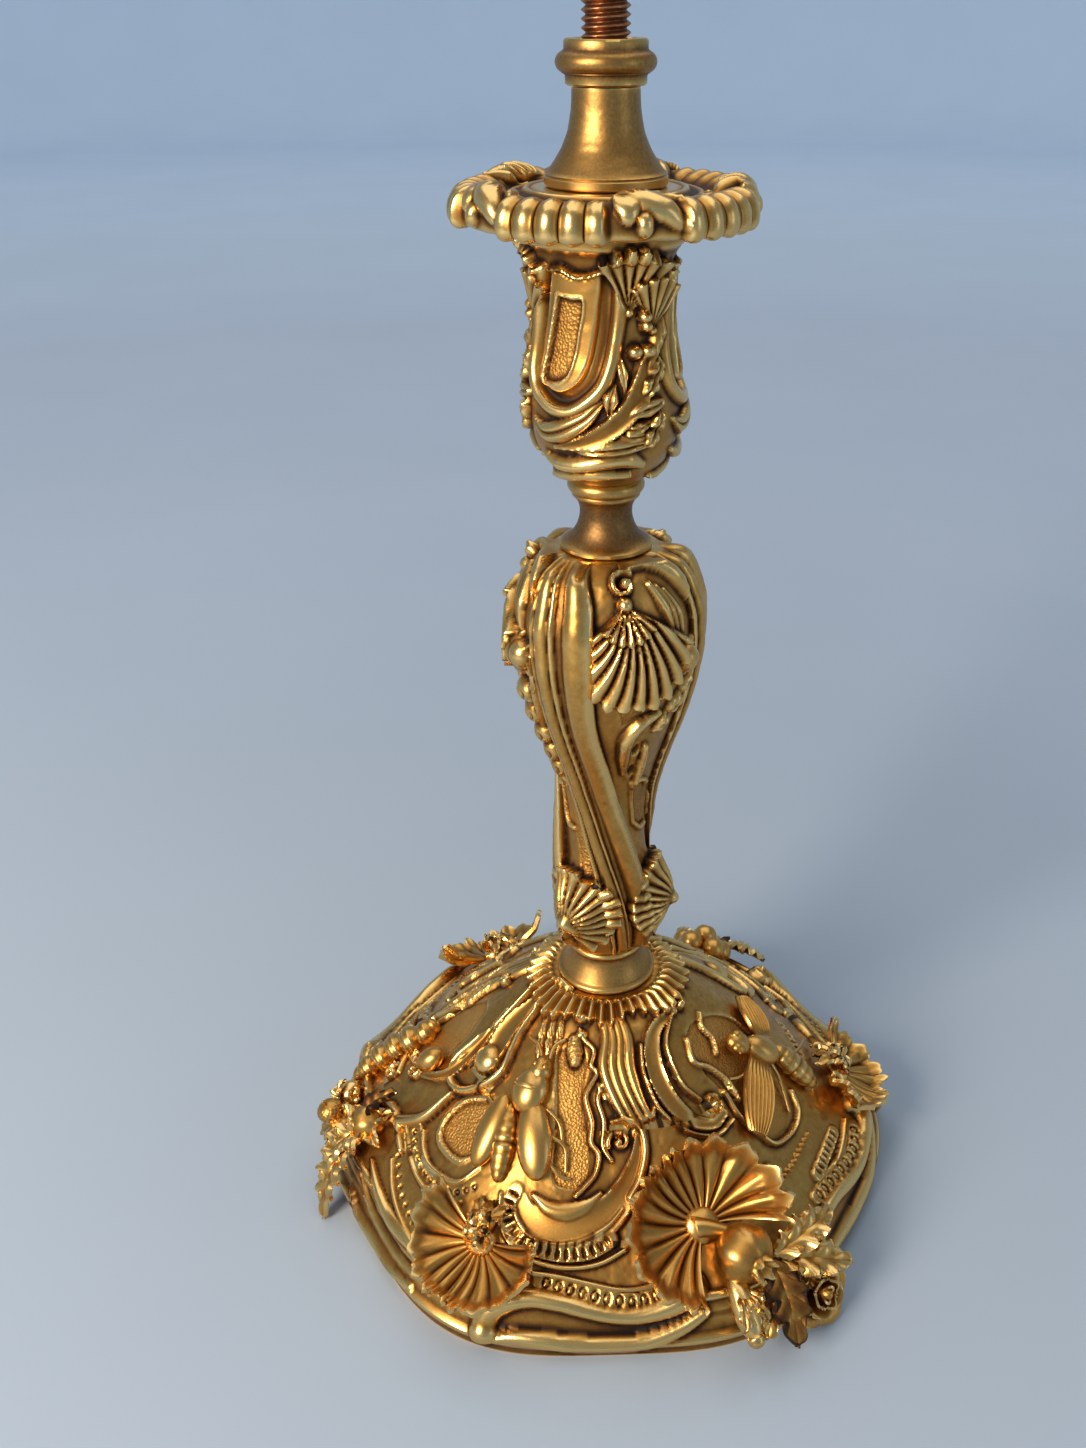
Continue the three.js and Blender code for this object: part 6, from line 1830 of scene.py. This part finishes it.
coneCurve = hermite([(0, 14.5), (.12, 14.5), (.155, 13.7), (.27, 11.9), (.4, 10.25), (.6, 8.75),
        (.85, 8.0), (1, 7.9)])
turnedPieces = {        # each piece's node, body, how dull it is, and its section as radius and height
    "locking_collar_ring": ("locking_collar", "collar", 0.56, [
        (6.1, 322.2), (9.0, 322.2), (9.4, 322.6), (9.4, 324.2), (9.7, 324.6), (10.1, 324.7),
        *arc(9.3, 327.0, 2.3, 2.3, -70, 70), (9.9, 329.3), (9.6, 329.6), (9.6, 331.3), (9.2, 331.8),
        (7.2, 331.8), (6.6, 331.3), (6.1, 330.6), (6.1, 326.4)]),
    "cone_cap_turned": ("cone_cap", "stand", 0.48, [
        (11.0, 301.0), (14.2, 301.0), (14.6, 301.4), (14.6, 302.9), (14.35, 303.1), (14.2, 303.35),
        *[(float(coneCurve(np.array([t]))[0]), 301 + 20.9 * t) for t in np.linspace(.125, 1, 60)],
        (7.5, 321.9), (6.3, 321.9), (6.3, 312.0), (6.3, 306.0), (11.0, 303.4)]),
    "neck_collar_turned": ("neck_collar", "stand", 0.40, [
        (6.2, 211.5), (11.9, 211.5), (12.3, 211.8), (12.3, 212.6), (11.9, 213.0), (10.9, 213.4),
        (9.6, 214.3),
        (8.6, 215.5), (7.7, 217.2), (7.1, 219.0), (6.85, 220.6), (6.95, 222.3), (7.4, 223.7),
        (8.2, 224.9),
        (8.9, 225.5), (9.0, 226.0), *arc(7.9, 228.3, 2.2, 2.1, -65, 75), (8.3, 230.4), (6.2, 230.4),
        (6.2, 221)]),
    "base_collar_turned": ("base_collar", "stand", 0.40, [
        (6.2, 71.3), (14.6, 71.3), (15.0, 71.7), (15.0, 72.6), (14.6, 73.1), (13.9, 73.4), (13.5, 74.0),
        (12.6, 75.9), (11.7, 77.6), (11.0, 79.2), (10.7, 80.4), (10.9, 81.2), (11.4, 81.6),
        (11.6, 82.2),
        (11.4, 82.9), (10.9, 83.3), (6.2, 83.3), (6.2, 77)]),
}


def makeTurned(name, node, body, level, section, steps=144):        # the section, spun round the axis
    deselectAll()
    bpy.ops.mesh.primitive_circle_add(vertices=len(section), radius=1 * mm)
    piece = bpy.context.active_object
    piece.name = name
    setPoints(piece, np.array([(r, 0, z) for r, z in section]))
    bpy.ops.object.mode_set(mode="EDIT")
    bpy.ops.mesh.select_all(action="SELECT")
    bpy.ops.mesh.spin(steps=steps, angle=turn, center=(0, 0, 0), axis=(0, 0, 1))
    bpy.ops.object.mode_set(mode="OBJECT")
    closeSeams(piece)
    p = getPoints(piece)
    # tool marks and pits
    grow = 0.035 * hashNoise(p * (1, 1, 3), 3.0, 9) + 0.02 * hashNoise(p, 0.9, 10)
    wider = 1 + grow / np.maximum(around(p)[1], 1)
    setPoints(piece, p * np.stack([wider, wider, np.ones(len(p))], axis=1))
    finishPiece(piece, turnedBrass, "turned_brass", [node], body, reach=1.2, angle=40, gain=0.5,
            level=level)


for name, values in turnedPieces.items():
    makeTurned(name, *values)

rod = {"radius": 5.6, "pitch": 1.814, "depth": 0.95, "bottom": 50.9, "top": 350.0,
       "threads": ((50.9, 66.0), (331.0, 350.0)), "threadStep": .13}


def makeRod():        # the rod with a real helical thread where it shows and where the nut sits
    (low, mid), (shown, top) = rod["threads"]
    heights = np.unique(np.concatenate([np.arange(low, mid, rod["threadStep"]),
                                        np.linspace(mid, shown, 12),
                                        np.arange(shown, top, rod["threadStep"]), [top]]))
    section = [(0.0, rod["bottom"]), *[(rod["radius"], z) for z in heights], (0.0, rod["top"]),
               (0.0, rod["bottom"])]
    piece, angle, row = ringGrid("threaded_rod_turned", 72, len(section) - 1)
    r, z = np.array(section)[row].T
    wave = (z / rod["pitch"] - angle / turn) % 1.0
    tooth = np.clip(1 - np.abs(wave * 2 - 1) * 1.35 + .18, 0, 1)
    inThread = np.zeros(len(z))
    for low, high in rod["threads"]:
        start, end = smoothStep((z - low + .3) * 1.5), smoothStep((high - z + .3) * 1.5)
        inThread = np.maximum(inThread, start * end)
    chamfer = np.clip((rod["top"] - z) / .8, .8, 1)
    r = np.where(r > 0, (r - rod["depth"] * (1 - tooth) * inThread) * chamfer, 0)
    setPoints(piece, np.stack([r * np.cos(angle), r * np.sin(angle), z], axis=1))
    closeSeams(piece)
    finishPiece(piece, rodBrass, "rod_metal", ["threaded_rod"], reach=0.6, angle=40)


makeRod()
print("turned pieces made")


# CAD nodes that keep their shape get their metal
slotMaterials = {"gilt_bronze": giltBronze, "turned_brass": turnedBrass, "rod_metal": rodBrass,
                 "plated_fixings": platedSteel}
slotOf = {row["node"]: row["material_slot"] for row in frame["record"]["subparts"]}


def dressNodes():
    for name, node in frame["nodes"].items():
        if node.hide_render:
            continue
        material = slotMaterials[slotOf[name]]
        node.data.materials.clear()
        node.data.materials.append(material)
        for polygon in node.data.polygons:
            polygon.material_index = 0


dressNodes()


# floor and lights
stageSetup = {"radius": 3200, "bend": 600, "wallTop": 1300, "steps": 12,
              "paintedLightTones": [(0, "#9ca9b7"), (.03, "#9ca9b7"), (.14, "#abb8c8"), (.3, "#b4c2d3"),
        (.375, "#becdde"),
                        (.45, "#c5d4e5"), (.54, "#cddef0"), (.68, "#d8e9fb"), (.85, "#dceefe")],
              # the painted tones are by shares of this reach: darker near the centre as painted shadow
              # round the foot, lighter farther off as painted light
              "paintedLightReach": 4000, "paintedLightCentre": (0, 80, 0),
              "cloudScale": 6.0, "mottle": (0.96, 1.04), "world": "#bcc4cf", "worldStrength": 0.5}
lights = {        # place, size in mm, power, colour
    "key_softbox": ((-660, -720, 640), (420, 520), 15.5, "#fff0de"),
    "top_softbox": ((0, 700, 2600), (3200, 3200), 38, "#f8f6f2"),
    "fill_softbox": ((1300, -700, 500), (400, 900), 1.2, "#e8eeff"),
}


def makeStage():        # a round pale floor that curves up into a wall, the same from every side
    s = stageSetup
    deselectAll()
    bpy.ops.mesh.primitive_circle_add(vertices=96, radius=s["radius"] * mm, fill_type="TRIFAN")
    floor = bpy.context.active_object
    floor.name = "studio_floor"
    bpy.ops.object.mode_set(mode="EDIT")
    bpy.ops.mesh.select_all(action="DESELECT")
    bpy.ops.mesh.select_mode(type="VERT")
    bpy.ops.object.mode_set(mode="OBJECT")
    for vertex in floor.data.vertices:
        vertex.select = vertex.co.length > s["radius"] * mm * 0.5
    bpy.ops.object.mode_set(mode="EDIT")
    for i in range(s["steps"]):
        a0, a1 = [j / s["steps"] * math.pi / 2 for j in (i, i + 1)]
        r0, r1 = [s["radius"] + s["bend"] * math.sin(a) for a in (a0, a1)]
        rise = s["bend"] * (math.cos(a0) - math.cos(a1))
        bpy.ops.mesh.extrude_region_move(TRANSFORM_OT_translate={"value": (0, 0, rise * mm)})
        bpy.ops.transform.resize(value=(r1 / r0, r1 / r0, 1), center_override=(0, 0, 0))
    bpy.ops.mesh.extrude_region_move(TRANSFORM_OT_translate={"value": (0, 0, s["wallTop"] * mm)})
    bpy.ops.object.mode_set(mode="OBJECT")
    pick(floor)
    bpy.ops.object.shade_smooth_by_angle(angle=math.radians(60))
    paper = newMaterial("backdropPaperWithPaintedLight")        # matt paper, pale blue grey, hardly mottled, with painted shadow round the foot and painted light farther off
    where = addNode(paper, "ShaderNodeTexCoord")
    clouds = addNode(paper, "ShaderNodeTexNoise", {"Scale": s["cloudScale"], "Detail": 3.0},
            {"Vector": where.outputs["Object"]})
    # tone by distance from a point behind the foot: painted shadow close to it, painted light farther
    # away
    behind = addNode(paper, "ShaderNodeVectorMath", {"operation": "SUBTRACT",
                                                     1: [v * mm for v in s["paintedLightCentre"]]},
                     {0: where.outputs["Object"]})
    out = addNode(paper, "ShaderNodeVectorMath", {"operation": "LENGTH"}, {0: behind.outputs[0]})
    share = addNode(paper, "ShaderNodeMath", {"operation": "DIVIDE", 1: s["paintedLightReach"] * mm},
            {0: out.outputs["Value"]})
    tone = addNode(paper, "ShaderNodeValToRGB", (), {"Fac": share.outputs[0]})
    setRamp(tone, s["paintedLightTones"])
    mottle = addNode(paper, "ShaderNodeMapRange", {"To Min": s["mottle"][0], "To Max": s["mottle"][1]},
            {"Value": clouds.outputs["Fac"]})
    colour = addNode(paper, "ShaderNodeHueSaturation", (), {"Color": tone.outputs["Color"],
            "Value": mottle.outputs[0]})
    shader = addNode(paper, "ShaderNodeBsdfPrincipled", {"Roughness": 0.9, "Specular IOR Level": 0.15},
                     {"Base Color": colour.outputs["Color"]})
    floor.data.materials.append(endMaterial(paper, shader))


def makeLight(name, place, size, power, colour, target=(0, 0, 170)):
    bpy.ops.object.light_add(type="AREA", location=[v * mm for v in place])
    light = bpy.context.active_object
    light.name = name
    light.data.shape = "RECTANGLE"
    light.data.size = size[0] * mm
    light.data.size_y = size[1] * mm
    light.data.energy = power
    light.data.color = linear(colour)[:3]
    aim = Vector(target) - Vector(place)
    light.rotation_euler = aim.to_track_quat("-Z", "Y").to_euler()


makeStage()
for name, values in lights.items():
    makeLight(name, *values)
world = bpy.data.worlds.new("studio")
bpy.context.scene.world = world
world.use_nodes = True
background = world.node_tree.nodes["Background"]
background.inputs["Color"].default_value = linear(stageSetup["world"])
background.inputs["Strength"].default_value = stageSetup["worldStrength"]
bpy.context.scene.view_settings.view_transform = "Standard"
print("stage and lights set")
